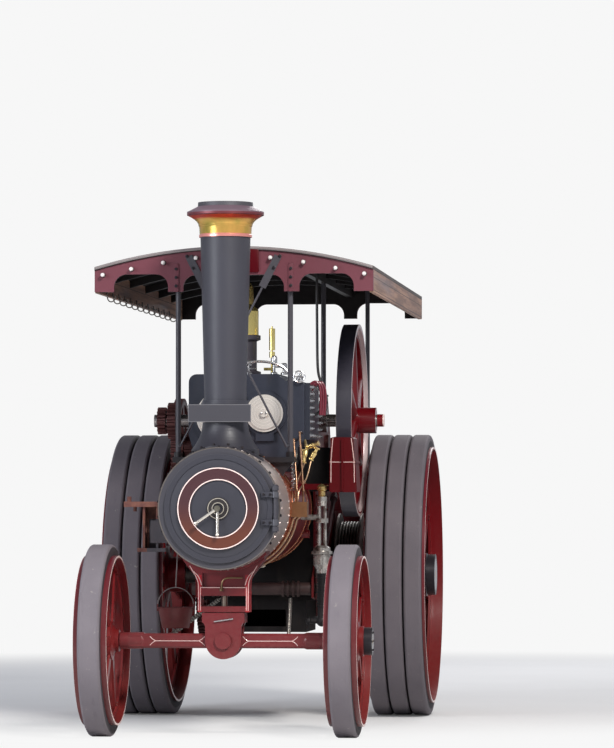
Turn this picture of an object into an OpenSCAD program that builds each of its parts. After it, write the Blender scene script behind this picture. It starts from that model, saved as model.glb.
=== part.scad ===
// Steam traction engine with a full-length canopy, rubber-tyred wheels and a rear winding drum.
// Millimetres. The engine faces -Y, +X is its left side, +Z is up and the road is z = 0.
// Inside the modules Y is measured behind the front axle; engine() moves it to the shared origin.

/* [Wheels and track] */
// distance between the front and rear axles
wheelbase = 3150; // [3140:5:3160]
// front wheel diameter over its rubber
front_wheel_d = 1280; // [1270:5:1290]
// width of the front rubber tyre
front_tyre_w = 148; // [130:2:170]
// width of the front steel rim
front_rim_w = 220; // [200:5:230]
// distance between the centres of the front wheels
front_track = 1646; // [1630:2:1670]
// rear wheel diameter over its rubber
rear_wheel_d = 2060; // [2050:5:2070]
// width of the rear steel rim
rear_rim_w = 445; // [436:1:452]
// distance between the centres of the rear wheels
rear_track = 1890; // [1886:2:1900]
// width of one of the three rubber bands of a rear tyre
rear_band_w = 126; // [110:2:130]
// number of spokes in a front wheel
front_spokes = 12; // [8:2:16]
// number of spokes in a rear wheel
rear_spokes = 18; // [12:2:22]

/* [Boiler] */
// outer radius of the smokebox wrapper
smokebox_r = 405; // [402:1:408]
// outer radius of the boiler cladding
boiler_r = 396; // [388:1:398]
// height of the boiler centre line
boiler_z = 1520; // [1515:1:1525]
// length of the smokebox
smokebox_len = 610; // [600:5:620]
// radius of the smokebox door
door_r = 360; // [352:1:364]
// height of the door's dome
dome_h = 34; // [25:1:40]

/* [Chimney] */
// outer diameter at the foot of the stack
stack_foot_d = 278; // [270:2:290]
// outer diameter at the head of the stack
stack_head_d = 336; // [326:2:346]
// height of the head of the stack
stack_top_z = 3350; // [3330:5:3370]
// greatest diameter of the flared cap
cap_lip_d = 515; // [500:5:530]

/* [Flywheel and motion] */
// flywheel diameter
flywheel_d = 1376; // [1350:2:1380]
// width of the flywheel rim
flywheel_w = 108; // [104:1:110]
// height of the crankshaft
crank_z = 2148; // [2144:1:2152]
// distance of the crankshaft behind the front axle
crank_y = 2200; // [2196:1:2204]
// module of the gear teeth
tooth_m = 11; // [10.9:0.1:11]

/* [Canopy] */
// length of the canopy
canopy_len = 4350; // [4300:10:4400]
// half width of the canopy
canopy_half_w = 952; // [945:1:960]
// height of the top of the roof along its middle
canopy_top_z = 3300; // [3295:1:3310]
// how much lower the roof is at its edges
canopy_camber = 138; // [125:1:145]
// height of the lower edge of the side boards
side_board_z = 2985; // [2970:1:3000]

/* [Fits] */
// radial clearance of a turning part on its shaft or pin
run_fit = 0.05; // [0.03:0.01:0.09]
// gap between moving parts along a shaft
side_gap = 6; // [5:0.5:8]

/* [Hidden] */
$fn = 96;
front_r = front_wheel_d / 2;
rear_r = rear_wheel_d / 2;
front_rubber = 75;
rear_rubber = 90;
canopy_y0 = 480;
canopy_y1 = canopy_y0 + canopy_len;
front_axle_y = -(canopy_y1 + front_r) / 2 + front_r;
smokebox_y0 = -320;
smokebox_y1 = smokebox_y0 + smokebox_len;
boiler_y1 = 1900;
stack_y = 35;
horn_in = 405;
horn_t = 15;
horn_out = horn_in + horn_t;
front_hub_in = 706;
front_hub_out = 990;
front_stub_d = 80;
rear_hub_in = 668;
rear_hub_out = 1166;
hub_cap_t = 14;
rear_axle_d = 130;
rear_axle_z = rear_r;
boss_d = 260;
shaft_d = 90;
fly_x0 = 598;
fly_hub_d = 185;
fly_hub_in = 90;
barrel_y = 1790;
barrel_z = 950;
barrel_d = 90;
journal_d = 60;
crank_throw = 140;
crank_angle = 70;
pin_d = 80;
cyl_y = [780, 1520];
cyl_top = 2440;
firebox_y1 = 2700;
firebox_bottom = 870;
floor_z = 1118;
tank_y = [wheelbase + 590, wheelbase + 1450];
tank_half_w = 604;
tank_top = 1850;
sheet_t = 8;
fire_z = 1330;
fire_pin = [195, firebox_y1 + 32];
lid_c = [-450, tank_y[0] + 140];
lid_pin_y = tank_y[0] + 250;
roof_t = 24;
fascia_t = 30;
roof_r = (canopy_half_w * canopy_half_w + canopy_camber * canopy_camber) / (2 * canopy_camber);
roof_cz = canopy_top_z - roof_r;
hinge_x = 378;
hinge_y = -352;
hinge_pin_d = 26;
king_d = 40;
joint_gap = 0.3;
plate_t = 25;

// Helpers
// moves a form from the front axle's place to the engine's own origin
module engine() { translate([0, front_axle_y, 0]) children(); }
// a block between two corners
module block(x, y, z) {
  translate([x[0], y[0], z[0]]) cube([x[1] - x[0], y[1] - y[0], z[1] - z[0]]);
}
// a round bar along X
module bar_x(x, y, z, d) { translate([x[0], y, z]) rotate([0, 90, 0]) cylinder(d = d, h = x[1] - x[0]); }
// a round bar along Y
module bar_y(x, y, z, d) { translate([x, y[1], z]) rotate([90, 0, 0]) cylinder(d = d, h = y[1] - y[0]); }
// a round bar along Z
module bar_z(x, y, z, d) { translate([x, y, z[0]]) cylinder(d = d, h = z[1] - z[0]); }
// turns what stands along Z so that it points from p to q
module aim(p, q) {
  v = q - p;
  translate(p) rotate([0, acos(v[2] / norm(v)), atan2(v[1], v[0])]) children();
}
// a round bar from one point to another
module rod(p, q, d) { aim(p, q) cylinder(d = d, h = norm(q - p)); }
// a round bar through a row of points, with a union at each corner
module pipe(pts, d) {
  for (i = [0 : len(pts) - 2]) rod(pts[i], pts[i + 1], d);
  if (len(pts) > 2) for (i = [1 : len(pts) - 2]) translate(pts[i]) sphere(d = d + 4, $fn = 20);
}
// a cone or collar along X
module cone_x(x, y, z, d0, d1) {
  translate([x[0], y, z]) rotate([0, 90, 0]) cylinder(d1 = d0, d2 = d1, h = x[1] - x[0]);
}
// an outline drawn in X and Z, given a depth along Y
module slab_y(y) { translate([0, y[1], 0]) rotate([90, 0, 0]) linear_extrude(y[1] - y[0]) children(); }
// an outline drawn in Y and Z, given a depth along X
module slab_x(x) { translate([x[0], 0, 0]) rotate([90, 0, 90]) linear_extrude(x[1] - x[0]) children(); }
// both sides of the engine
module both() {
  children();
  mirror([1, 0, 0]) children();
}
// a tube along Y round the boiler's centre line
module boiler_ring(y, r1, r0) {
  difference() {
    bar_y(0, y, boiler_z, 2 * r1);
    bar_y(0, [y[0] - 1, y[1] + 1], boiler_z, 2 * r0);
  }
}
// what rests on the boiler or smokebox is cut to its round
module barrel_cut() {
  bar_y(0, [smokebox_y0, smokebox_y1], boiler_z, 2 * smokebox_r);
  bar_y(0, [smokebox_y1 - 1, firebox_y1], boiler_z, 2 * boiler_r);
}
// points of an arc
function arc(c, r, a0, a1, n) =
  [for (i = [0 : n]) let (a = a0 + (a1 - a0) * i / n) [c[0] + r * cos(a), c[1] + r * sin(a)]];
// one of the two points that lie rp from p and rq from q
function meet(p, rp, q, rq) =
  let (d = norm(q - p), a = (rp * rp - rq * rq + d * d) / (2 * d), h = sqrt(max(0, rp * rp - a * a)),
    u = (q - p) / d)
  p + a * u + h * [-u[1], u[0]];

// Wheels, drawn round the Z axis with the outer side up
// one flat spoke from the hub to the ring inside the rim
module spoke(r0, z0, r1, z1, w, t) {
  translate([r0, 0, z0]) rotate([0, 90 - atan2(z1 - z0, r1 - r0), 0]) translate([-t / 2, -w / 2, 0])
    cube([t, w, norm([r1 - r0, z1 - z0])]);
}
// a rim with two inner rings
module rim_ring(r, w, t, web_z, web_h) {
  rotate_extrude() {
    translate([r - t, -w / 2]) square([t, w]);
    for (s = [-1, 1]) translate([r - t - web_h, s * web_z - 7]) square([web_h + 1, 14]);
  }
}
// a cast hub: a waisted barrel with two spoke flanges and a plain outer end
module hub(z, d, flange_d, web_z, end_d) {
  rotate_extrude() polygon([[0, z[0]], [d / 2, z[0]], [d / 2, -web_z - 30],
      [flange_d / 2 - 25, -web_z - 14],
    [flange_d / 2, -web_z - 12], [flange_d / 2, -web_z + 12], [d / 2 + 12, -web_z + 26], [d / 2, 0],
    [d / 2 + 12, web_z - 26], [flange_d / 2, web_z - 12], [flange_d / 2, web_z + 12],
    [end_d / 2 + 8, web_z + 22], [end_d / 2 + 8, web_z + 46], [end_d / 2, web_z + 50],
        [end_d / 2, z[1]], [0, z[1]]]);
}
module spokes(n, r0, r1, web_z, w, t) {
  for (i = [0 : n - 1]) {
    s = i % 2 == 0 ? 1 : -1;
    rotate([0, 0, i * 360 / n]) spoke(r0, s * web_z, r1, s * (web_z - 14), w, t);
  }
}
module on_front_axle(s) {
  engine() translate([s * front_track / 2, 0, front_r]) rotate([0, s * 90, 0]) children();
}
module on_rear_axle(s) {
  engine() translate([s * rear_track / 2, wheelbase, rear_r]) rotate([0, s * 90, 0]) children();
}

module front_rim(s) {
  half = front_track / 2;
  r = front_r - front_rubber;
  color("firebrick") on_front_axle(s) difference() {
    union() {
      rim_ring(r, front_rim_w, 14, 60, 45);
      hub([front_hub_in - half, front_hub_out - half], 150, 260, 60, 185);
      spokes(front_spokes, 100, r - 24, 60, 64, 14);
    }
    translate([0, 0, front_hub_in - half - 1]) cylinder(d = front_stub_d + 2 * run_fit,
        h = front_hub_out - front_hub_in - hub_cap_t);
  }
}
module front_rim_left() { front_rim(1); }
module front_rim_right() { front_rim(-1); }

// rubber band with eased edges
module rubber(r0, r1, z0, w) {
  e = 16;
  polygon([[r0, z0], [r1 - e, z0], [r1 - e * 0.35, z0 + e * 0.35], [r1, z0 + e], [r1, z0 + w - e],
    [r1 - e * 0.35, z0 + w - e * 0.35], [r1 - e, z0 + w], [r0, z0 + w]]);
}
module front_tyre(s) {
  color("dimgray") on_front_axle(s)
    rotate_extrude() rubber(front_r - front_rubber, front_r, -front_tyre_w / 2, front_tyre_w);
}
module front_tyre_left() { front_tyre(1); }
module front_tyre_right() { front_tyre(-1); }

module rear_rim(s) {
  half = rear_track / 2;
  r = rear_r - rear_rubber;
  color("firebrick") on_rear_axle(s) difference() {
    union() {
      rim_ring(r, rear_rim_w, 16, 125, 75);
      hub([rear_hub_in - half, rear_hub_out + hub_cap_t - half], 260, 420, 125, 300);
      spokes(rear_spokes, 165, r - 26, 125, 100, 18);
    }
    translate([0, 0, rear_hub_in - half - 1]) cylinder(d = rear_axle_d + 2 * run_fit,
        h = rear_hub_out - rear_hub_in + 3);
  }
}
module rear_rim_left() { rear_rim(1); }
module rear_rim_right() { rear_rim(-1); }

// three rubber bands stand side by side on each rear rim
band_gap = 12;
module rear_tyre(s) {
  color("dimgray") on_rear_axle(s) rotate_extrude() {
    for (i = [-1 : 1]) rubber(rear_r - rear_rubber, rear_r, i * (rear_band_w + band_gap)
        - rear_band_w / 2, rear_band_w);
    translate([rear_r - rear_rubber, -rear_band_w]) square([20, 2 * rear_band_w]);
  }
}
module rear_tyre_left() { rear_tyre(1); }
module rear_tyre_right() { rear_tyre(-1); }

// Smokebox and door
module hinge_lug() {
  translate([0, 0, boiler_z]) {
    block([hinge_x - 22, hinge_x + 14], [hinge_y, smokebox_y0 + 2], [-16, 16]);
    bar_z(hinge_x, hinge_y, [-16, 16], 46);
  }
}
// the tube plate, plate_t thick, closes the back of the smokebox
module smokebox() {
  color("dimgray") engine() {
    bar_y(0, [smokebox_y1 - plate_t, smokebox_y1], boiler_z, 2 * smokebox_r);
    difference() {
      union() {
        bar_y(0, [smokebox_y0, smokebox_y1 - plate_t - joint_gap], boiler_z, 2 * smokebox_r);
        for (s = [-1, 1]) translate([0, 0, s * 134]) hinge_lug();
      }
      bar_y(0, [smokebox_y0 + 14, smokebox_y1], boiler_z, 2 * smokebox_r - 28);
      bar_y(0, [smokebox_y0 - 1, smokebox_y0 + 20], boiler_z, 2 * door_r - 60);
      bar_z(0, stack_y, [boiler_z, boiler_z + smokebox_r + 10], 230);
    }
    bar_z(hinge_x, hinge_y, [boiler_z - 158, boiler_z + 158], hinge_pin_d);
  }
}

// the door's shallow dome, filled back to its rim; skin lowers it
module door_dome(skin) {
  dome_r = (door_r * door_r + dome_h * dome_h) / (2 * dome_h);
  n = 10;
  rim = [for (i = [0 : n]) door_r * sin(90 * i / n)];
  translate([0, smokebox_y0 - 8, boiler_z]) rotate([90, 0, 0]) rotate_extrude()
    polygon(concat([[0, -1 - skin]], [for (x = rim) [x, sqrt(dome_r * dome_r - x * x)
        - dome_r + dome_h - skin]],
      [[door_r, -1 - skin]]));
}
module door_handle(q, y) {
  rod([0, y, boiler_z], [q[0], y - 8, boiler_z + q[1]], 20);
  translate([q[0], y - 8, boiler_z + q[1]]) sphere(d = 28, $fn = 24);
}
module smokebox_door() {
  color("dimgray") engine() difference() {
    union() {
      difference() {
        door_dome(0);
        door_dome(14);
      }
      boiler_ring([smokebox_y0 - 20, smokebox_y0 - 2], door_r, door_r - 35);
      for (s = [-1, 1]) translate([0, 0, boiler_z + s * 92]) {
        bar_z(hinge_x, hinge_y, [-20, 20], 46);
        block([285, hinge_x], [hinge_y - 8, hinge_y + 8], [-18, 18]);
        block([285, 325], [hinge_y, smokebox_y0 - 10], [-18, 18]);
      }
      bar_y(0, [smokebox_y0 - 100, smokebox_y0 - 36], boiler_z, 40);
      door_handle([0, -172], smokebox_y0 - 72);
      door_handle([-140, -97], smokebox_y0 - 92);
    }
    bar_z(hinge_x, hinge_y, [boiler_z - 160, boiler_z + 160], hinge_pin_d + 2 * run_fit);
  }
}

// blank ring plate and blank centre ring that lie on the door
crest_r = [187, 270];
centre_r = [30, 75];
module crest_ring() {
  color("maroon") engine() difference() {
    union() {
      boiler_ring([smokebox_y0 - 45, smokebox_y0 - 20], crest_r[1], crest_r[0]);
      boiler_ring([smokebox_y0 - 50, smokebox_y0 - 30], centre_r[1], centre_r[0]);
    }
    door_dome(0);
  }
}

// Boiler and firebox
band_y = [smokebox_y1 + 24, 738, 1562, boiler_y1 - 70];
module boiler() {
  color("firebrick") engine() {
    bar_y(0, [smokebox_y1, boiler_y1], boiler_z, 2 * boiler_r);
    for (y = band_y) bar_y(0, [y - 20, y + 20], boiler_z, 2 * boiler_r + 6);
    for (s = [-1, 1]) translate([s * 300, 1640, boiler_z - 180]) rotate([0, s * 90, 0])
        cylinder(d = 60, h = 100);
  }
}

module firehole_lug(z) {
  block([fire_pin[0] - 15, fire_pin[0] + 15], [firebox_y1 - 5, fire_pin[1]], [z, z + 22]);
  bar_z(fire_pin[0], fire_pin[1], [z, z + 22], 40);
}
module firebox() {
  color("darkred") engine() {
    difference() {
      union() {
        bar_y(0, [boiler_y1, firebox_y1], boiler_z, 2 * boiler_r);
        block([-horn_in, horn_in], [boiler_y1, firebox_y1], [firebox_bottom, boiler_z]);
        for (z = [fire_z - 68, fire_z + 46]) firehole_lug(z);
        bar_y(0, [firebox_y1 - 5, firebox_y1 + 6], fire_z, 380);
      }
      block([-horn_in + 95, horn_in - 95], [boiler_y1 + 90, firebox_y1 - 90], [firebox_bottom - 1, 1570]);
      bar_y(0, [firebox_y1 - 91, firebox_y1 + 7], fire_z, 300);
    }
    bar_z(fire_pin[0], fire_pin[1], [fire_z - 68, fire_z + 68], 20);
    for (s = [-1, 1], z = [1000, 1600]) bar_y(s * 290, [firebox_y1 - 1, firebox_y1 + 14], z, 64);
  }
}

module firehole_door() {
  color("black") engine() difference() {
    union() {
      bar_y(0, [firebox_y1 + 9, firebox_y1 + 25], fire_z, 340);
      bar_z(fire_pin[0], fire_pin[1], [fire_z - 40, fire_z + 40], 40);
      block([90, fire_pin[0]], [firebox_y1 + 20, firebox_y1 + 40], [fire_z - 35, fire_z + 35]);
      bar_y(-120, [firebox_y1 + 20, firebox_y1 + 70], fire_z, 22);
      translate([-120, firebox_y1 + 78, fire_z]) sphere(d = 36, $fn = 24);
    }
    bar_z(fire_pin[0], fire_pin[1], [fire_z - 50, fire_z + 50], 20 + 2 * run_fit);
  }
}

// Places and sizes of the gear train
teeth = [22, 60, 20, 62, 22, 96];
crank_c = [crank_y, crank_z];
axle_c = [wheelbase, rear_axle_z];
dist12 = tooth_m * (teeth[0] + teeth[1]) / 2;
dist23 = tooth_m * (teeth[2] + teeth[3]) / 2;
dist34 = tooth_m * (teeth[4] + teeth[5]) / 2;
shaft2 = crank_c + dist12 * [cos(22), -sin(22)];
shaft3 = meet(shaft2, dist23, axle_c, dist34);
counter_d = 90;

// side plates that carry the shafts and the rear axle
module horn_outline() {
  rear = wheelbase + 230;
  polygon([[barrel_y - 60, 890], [1860, 875], [rear - 50, 865], [rear, 910], [rear, 1280],
      [rear - 250, 1500],
    [rear - 290, 1790], [rear - 450, 2080], [rear - 620, 2330], [2380, 2330], [2340, 2270], [2060, 2270],
    [2020, 2330], [1960, 2330], [1860, 2210], [1860, 1110], [barrel_y - 60, 1020]]);
}
module hornplates() {
  color("firebrick") engine() {
    difference() {
      both() slab_x([horn_in, horn_out]) horn_outline();
      bar_x([-500, 500], crank_y, crank_z, 170);
      bar_x([-500, 500], wheelbase, rear_axle_z, 160);
      bar_x([-500, 500], shaft2[0], shaft2[1], counter_d);
      bar_x([-500, 0], shaft3[0], shaft3[1], counter_d);
      bar_x([-500, 500], barrel_y, barrel_z, journal_d);
    }
    block([-horn_in, horn_in], [1862, 1880], [1930, 2090]);
    block([-horn_in, horn_in], [2500, 2518], [1930, 2050]);
    both() block([horn_in - 60, horn_in], [1863, 1880], [2090, 2260]);
  }
}

// Chimney
flare_z = [1912, 2094];
flare_r = [226, 152];
module chimney() {
  n = 9;
  flare = [for (i = [0 : n]) let (k = i / n)
    [flare_r[1] + (flare_r[0] - flare_r[1]) * (1 - k) * (1 - k), flare_z[0] + (flare_z[1] - flare_z[0])
        * k]];
  color("dimgray") engine() {
    difference() {
      translate([0, stack_y, 0]) rotate_extrude() polygon(concat(
        [[115, 1800], [flare_r[0], 1800]], flare,
        [[stack_foot_d / 2, 2096], [stack_foot_d / 2, 2211], [stack_foot_d / 2 + 16, 2211],
         [stack_foot_d / 2 + 16, 2239], [stack_foot_d / 2 + 1, 2240], [stack_head_d / 2, stack_top_z],
         [stack_head_d / 2 - 14, stack_top_z], [115, 2240]]));
      barrel_cut();
    }
    intersection() {
      difference() {
        bar_z(0, stack_y, [1780, 1960], 2 * flare_r[0] + 60);
        bar_z(0, stack_y, [1770, 1970], 2 * flare_r[0] - 4);
      }
      boiler_ring([smokebox_y0, smokebox_y1 - 1], smokebox_r + 14, smokebox_r);
    }
  }
}

// flared cap drawn as a profile from its bottom band to the top ring
module chimney_cap() {
  lip = cap_lip_d / 2;
  r0 = stack_head_d / 2;
  n = 8;
  flare = [for (i = [0 : n]) let (k = i / n) [r0 + 12 + (lip - r0 - 12) * k * k,
      stack_top_z + 56 + 72 * k]];
  color("peru") engine() translate([0, stack_y, 0]) rotate_extrude() polygon(concat(
    [[r0, stack_top_z - 20], [r0 + 9, stack_top_z - 20], [r0 + 9, stack_top_z - 4], [r0 + 5, stack_top_z],
     [r0 + 8, stack_top_z + 50]], flare,
    [[lip, stack_top_z + 150], [lip - 14, stack_top_z + 156], [lip - 72, stack_top_z + 186],
     [lip - 74, stack_top_z + 213], [lip - 86, stack_top_z + 213], [r0 - 8, stack_top_z + 120],
     [r0 - 12, stack_top_z], [r0, stack_top_z]]));
}

module number_plate() {
  color("black") engine() {
    block([-228, 192], [-143, -137], [2094, 2211]);
    difference() {
      for (x = [-90, 60]) block([x, x + 30], [-138, -60], [2125, 2185]);
      bar_z(0, stack_y, [2100, 2200], stack_foot_d);
    }
  }
}

// Front carriage
perch_x = 172;
perch_bar = [[940, 1000], [832, 870]];
king_top = 1008;
module perch_bracket() {
  color("firebrick") engine() difference() {
    union() {
      slab_y([-70, 70]) difference() {
        polygon([[-272, 1240], [-272, 1178], [-236, 1130], [-perch_x - 6, 1060], [-perch_x, 1020],
            [-perch_x, perch_bar[1][0]],
          [perch_x, perch_bar[1][0]], [perch_x, 1020], [perch_x + 6, 1060], [236, 1130], [272, 1178],
              [272, 1240]]);
        translate([-150, perch_bar[1][1]]) square([300, perch_bar[0][0] - perch_bar[1][1]]);
      }
      intersection() {
        boiler_ring([-110, 110], smokebox_r + 16, smokebox_r - 20);
        block([-290, 290], [-110, 110], [1100, 1260]);
      }
    }
    barrel_cut();
    for (s = [-1, 1]) translate([0, s * 70, 0]) block([-140, 140], [-28, 28], [perch_bar[0][1], 1090]);
    bar_z(0, 0, [perch_bar[1][0] - 10, king_top + 4], king_d + 2 * run_fit);
  }
}

beam_h = 97;
beam_end = 640;
chain_x = 420;
module front_axle() {
  top = perch_bar[1][0] - 5;
  color("firebrick") engine() {
    slab_x([-beam_end, beam_end]) translate([0, front_r])
        polygon([[-50, -beam_h / 2 + 12], [-38, -beam_h / 2],
      [38, -beam_h / 2], [50, -beam_h / 2 + 12], [50, beam_h / 2 - 12], [38, beam_h / 2], [-38, beam_h / 2],
      [-50, beam_h / 2 - 12]]);
    both() bar_x([beam_end - 90, front_hub_in - side_gap], 0, front_r, 112);
    both() cone_x([beam_end - 120, beam_end - 90], 0, front_r, 90, 112);
    both() bar_x([beam_end, front_hub_out - hub_cap_t - 6], 0, front_r, front_stub_d);
    both() bar_y(chain_x, [45, 66], front_r, 44);
    for (s = [0, 1]) mirror([0, s, 0]) slab_y([54, 84]) {
      translate([0, front_r]) circle(r = 120);
      polygon([[-120, front_r], [-122, 740], [-142, 778], [-142, top], [142, top], [142, 778], [122, 740],
        [120, front_r]]);
    }
    block([-142, 142], [-84, 84], [762, top]);
    bar_y(0, [-102, 102], front_r, 108);
    bar_z(0, 0, [top - 5, king_top], king_d);
  }
}

// a straight run of chain; scene detail gives it links
wrap_d = 114;
chain_d = 26;
chain_gap = 2.4;
module steering_chain(s) {
  color("silver") engine()
    rod([s * 250, barrel_y - 4, barrel_z - wrap_d / 2 - chain_d / 2 - 0.6],
        [s * chain_x, 66 + chain_gap, front_r], chain_d);
}
module steering_chain_left() { steering_chain(1); }
module steering_chain_right() { steering_chain(-1); }

// Steering gear
wheel_c = [470, 3230, 1900];
worm_c = [470, barrel_y, barrel_z + 118];
module steering_gear() {
  tilt = atan2(wheel_c[1] - worm_c[1], wheel_c[2] - worm_c[2]);
  color("firebrick") engine() {
    bar_x([-horn_in + 10, horn_in - 10], barrel_y, barrel_z, barrel_d);
    for (s = [-1, 1], k = [0 : 3]) bar_x([s * 250 - 60 + 36 * k, s * 250 - 44 + 36 * k], barrel_y,
        barrel_z, wrap_d);
    bar_x([-horn_out - 30, 500], barrel_y, barrel_z, journal_d);
    bar_x([-horn_out - 30, -horn_out - 1], barrel_y, barrel_z, journal_d + 30);
    bar_x([444, 496], barrel_y, barrel_z, 190);
    difference() {
      block([436, 504], [barrel_y - 60, barrel_y + 60], [barrel_z + 80, barrel_z + 160]);
      bar_x([400, 520], barrel_y, barrel_z, 200);
    }
    block([horn_out, 450], [barrel_y + 10, barrel_y + 60], [barrel_z + 84, barrel_z + 156]);
    rod(worm_c, wheel_c, 30);
    rod(worm_c + 0.62 * (wheel_c - worm_c), worm_c + 0.65 * (wheel_c - worm_c), 56);
  }
  color("silver") engine() translate(wheel_c) rotate([-tilt, 0, 0]) {
    rotate_extrude() translate([160, 0]) circle(d = 24, $fn = 24);
    for (a = [45 : 90 : 315]) rotate([0, 0, a]) rod([0, 0, 0], [160, 0, 0], 16);
    cylinder(d = 60, h = 30, center = true);
    rotate([0, 0, 45]) translate([160, 0, 6]) cylinder(d = 22, h = 90);
  }
}

// Rear axle and drum
module rear_axle() {
  color("dimgray") engine() {
    bar_x([-rear_hub_out + 4, rear_hub_out - 4], wheelbase, rear_axle_z, rear_axle_d);
    both() bar_x([horn_out, horn_out + 36], wheelbase, rear_axle_z, boss_d);
    both() bar_x([horn_in - 40, horn_out], wheelbase, rear_axle_z, 160);
    both() block([horn_out, horn_out + 22], [wheelbase - 180, wheelbase + 180],
        [rear_axle_z - 100, rear_axle_z + 60]);
  }
}

drum_x = [468, 648];
drum_d = 900;
core_d = 740;
rope_d = 22;
drum_side = 14;
module winding_drum() {
  turns = 7;
  pitch = (drum_x[1] - drum_x[0] - 2 * drum_side) / turns;
  rope = [for (i = [0 : turns - 1], k = [[0, 0], [0.22, rope_d * 0.85], [0.5, rope_d],
      [0.78, rope_d * 0.85]])
    [core_d / 2 + k[1], drum_side + (i + k[0]) * pitch]];
  color("dimgray") engine() difference() {
    translate([drum_x[0], wheelbase, rear_axle_z]) rotate([0, 90, 0]) rotate_extrude() polygon(concat(
      [[0, 0], [drum_d / 2, 0], [drum_d / 2, drum_side]], rope,
          [[core_d / 2, drum_x[1] - drum_x[0] - drum_side],
      [drum_d / 2, drum_x[1] - drum_x[0] - drum_side], [drum_d / 2, drum_x[1] - drum_x[0]],
          [0, drum_x[1] - drum_x[0]]]));
    bar_x([drum_x[0] - 1, drum_x[1] + 1], wheelbase, rear_axle_z, rear_axle_d + 2 * run_fit);
    for (a = [0 : 60 : 300], x = [drum_x[0] - 1, drum_x[1] - drum_side + 1])
        translate([x, wheelbase, rear_axle_z])
      rotate([a, 0, 0]) translate([0, 240, 0]) rotate([0, 90, 0]) cylinder(d = 130, h = drum_side);
  }
}

// Cylinders and motion
hp_c = [181, 2170];
lp_c = [-112, 2150];
chest_x = 452;
module cylinder_block() {
  color("darkslategray") engine() difference() {
    union() {
      slab_y(cyl_y) polygon(concat(
        [[-300, 1880], [-345, 2020], [-345, 2385]], arc([-290, 2385], 55, 180, 90, 5),
        [[270, cyl_top], [320, 2392]], arc([chest_x - 40, 2352], 40, 90, 0, 4),
        [[chest_x, 1985], [400, 1930], [345, 1860], [300, 1760], [-280, 1760]]));
      bar_y(hp_c[0], [cyl_y[0] - 26, cyl_y[1] + 26], hp_c[1], 300);
      bar_y(lp_c[0], [cyl_y[0] - 26, cyl_y[1] + 26], lp_c[1], 400);
      block([chest_x - 5, chest_x + 32], [cyl_y[0] + 60, cyl_y[1] - 60], [1990, 2380]);
      block([120, 245], [cyl_y[0] - 26, cyl_y[0] + 5], [1980, 2040]);
    }
    barrel_cut();
  }
}

// polished end covers
module cover(c, d) {
  bar_y(c[0], [cyl_y[0] - 44, cyl_y[0] - 26], c[1], d);
  bar_y(c[0], [cyl_y[0] - 54, cyl_y[0] - 26], c[1], d - 36);
  bar_y(c[0], [cyl_y[0] - 74, cyl_y[0] - 26], c[1], 54);
}
module cylinder_covers() {
  color("silver") engine() {
    cover(hp_c, 256);
    cover(lp_c, 350);
  }
}

valve_x = 8;
module safety_valve() {
  color("gold") engine() {
    translate([valve_x, 1000, cyl_top]) rotate_extrude() polygon([[0, 0], [120, 0], [120, 22],
      [92, 30], [92, 232], [118, 242], [118, 272], [104, 276], [104, 440], [96, 460], [72, 485],
      [66, 610], [52, 632], [0, 636]]);
    bar_z(206, 1000, [cyl_top, cyl_top + 150], 18);
    bar_z(206, 1000, [cyl_top + 120, cyl_top + 160], 40);
    bar_z(206, 1000, [cyl_top + 170, cyl_top + 320], 42);
    bar_z(206, 1000, [cyl_top + 150, cyl_top + 335], 12);
    block([150, 215], [985, 1015], [cyl_top + 30, cyl_top + 50]);
  }
}

// two piston rods on one crosshead between slide bars, the connecting rod and the valve rods
crank_pin = [crank_y + crank_throw * cos(crank_angle), crank_z + crank_throw * sin(crank_angle)];
motion_x = (hp_c[0] + lp_c[0]) / 2;
flange_y = cyl_y[1] + 26;
cross_y = 1710;
valve_rod_x = -230;
weigh_c = [1985, 2290];
lever_x = -330;
lever_foot = 2860;
lever_head = [2960, 1960];
module motion() {
  color("silver") engine() {
    bar_y(hp_c[0], [flange_y, cross_y], hp_c[1], 48);
    bar_y(lp_c[0], [flange_y, cross_y], lp_c[1], 48);
    block([lp_c[0] - 45, hp_c[0] + 45], [cross_y - 50, cross_y + 50], [crank_z - 42, crank_z + 52]);
    block([motion_x - 55, motion_x + 55], [cross_y - 60, cross_y + 60], [crank_z - 80, crank_z + 80]);
    for (s = [-1, 1]) block([motion_x - 50, motion_x + 50], [flange_y, 1862],
      [crank_z + s * 97 - 17, crank_z + s * 97 + 17]);
    difference() {
      union() {
        rod([motion_x, cross_y, crank_z], [motion_x, crank_pin[0], crank_pin[1]], 62);
        bar_x([motion_x - 42, motion_x + 42], crank_pin[0], crank_pin[1], 145);
      }
      bar_x([motion_x - 60, motion_x + 60], crank_pin[0], crank_pin[1], pin_d);
    }
    for (k = [[-30, 40], [30, -40]]) difference() {
      union() {
        bar_x([valve_rod_x + k[0] - 18, valve_rod_x + k[0] + 18], crank_y, crank_z, 260);
        rod([valve_rod_x + k[0], crank_y - 100, crank_z],
            [valve_rod_x + k[0], 1690, crank_z + 40 + k[1]], 32);
      }
      bar_x([valve_rod_x + k[0] - 30, valve_rod_x + k[0] + 30], crank_y, crank_z, shaft_d);
    }
    block([valve_rod_x - 55, valve_rod_x + 55], [1670, 1705], [crank_z - 60, crank_z + 160]);
    bar_y(valve_rod_x, [flange_y, 1671], crank_z + 40, 36);
    rod([valve_rod_x, 1690, 2288], [valve_rod_x, weigh_c[0], weigh_c[1]], 26);
    bar_x([-horn_in, horn_in], weigh_c[0], weigh_c[1], 50);
    rod([lever_x, weigh_c[0], weigh_c[1]], [lever_x, lever_head[0] - 40, lever_head[1] - 10], 26);
    for (s = [-1, 1]) translate([lever_x + s * 15, 0, 0])
        block([-5, 5], [lever_head[0] - 55, lever_head[0] + 20],
      [lever_head[1] - 36, lever_head[1] + 6]);
  }
}

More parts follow.
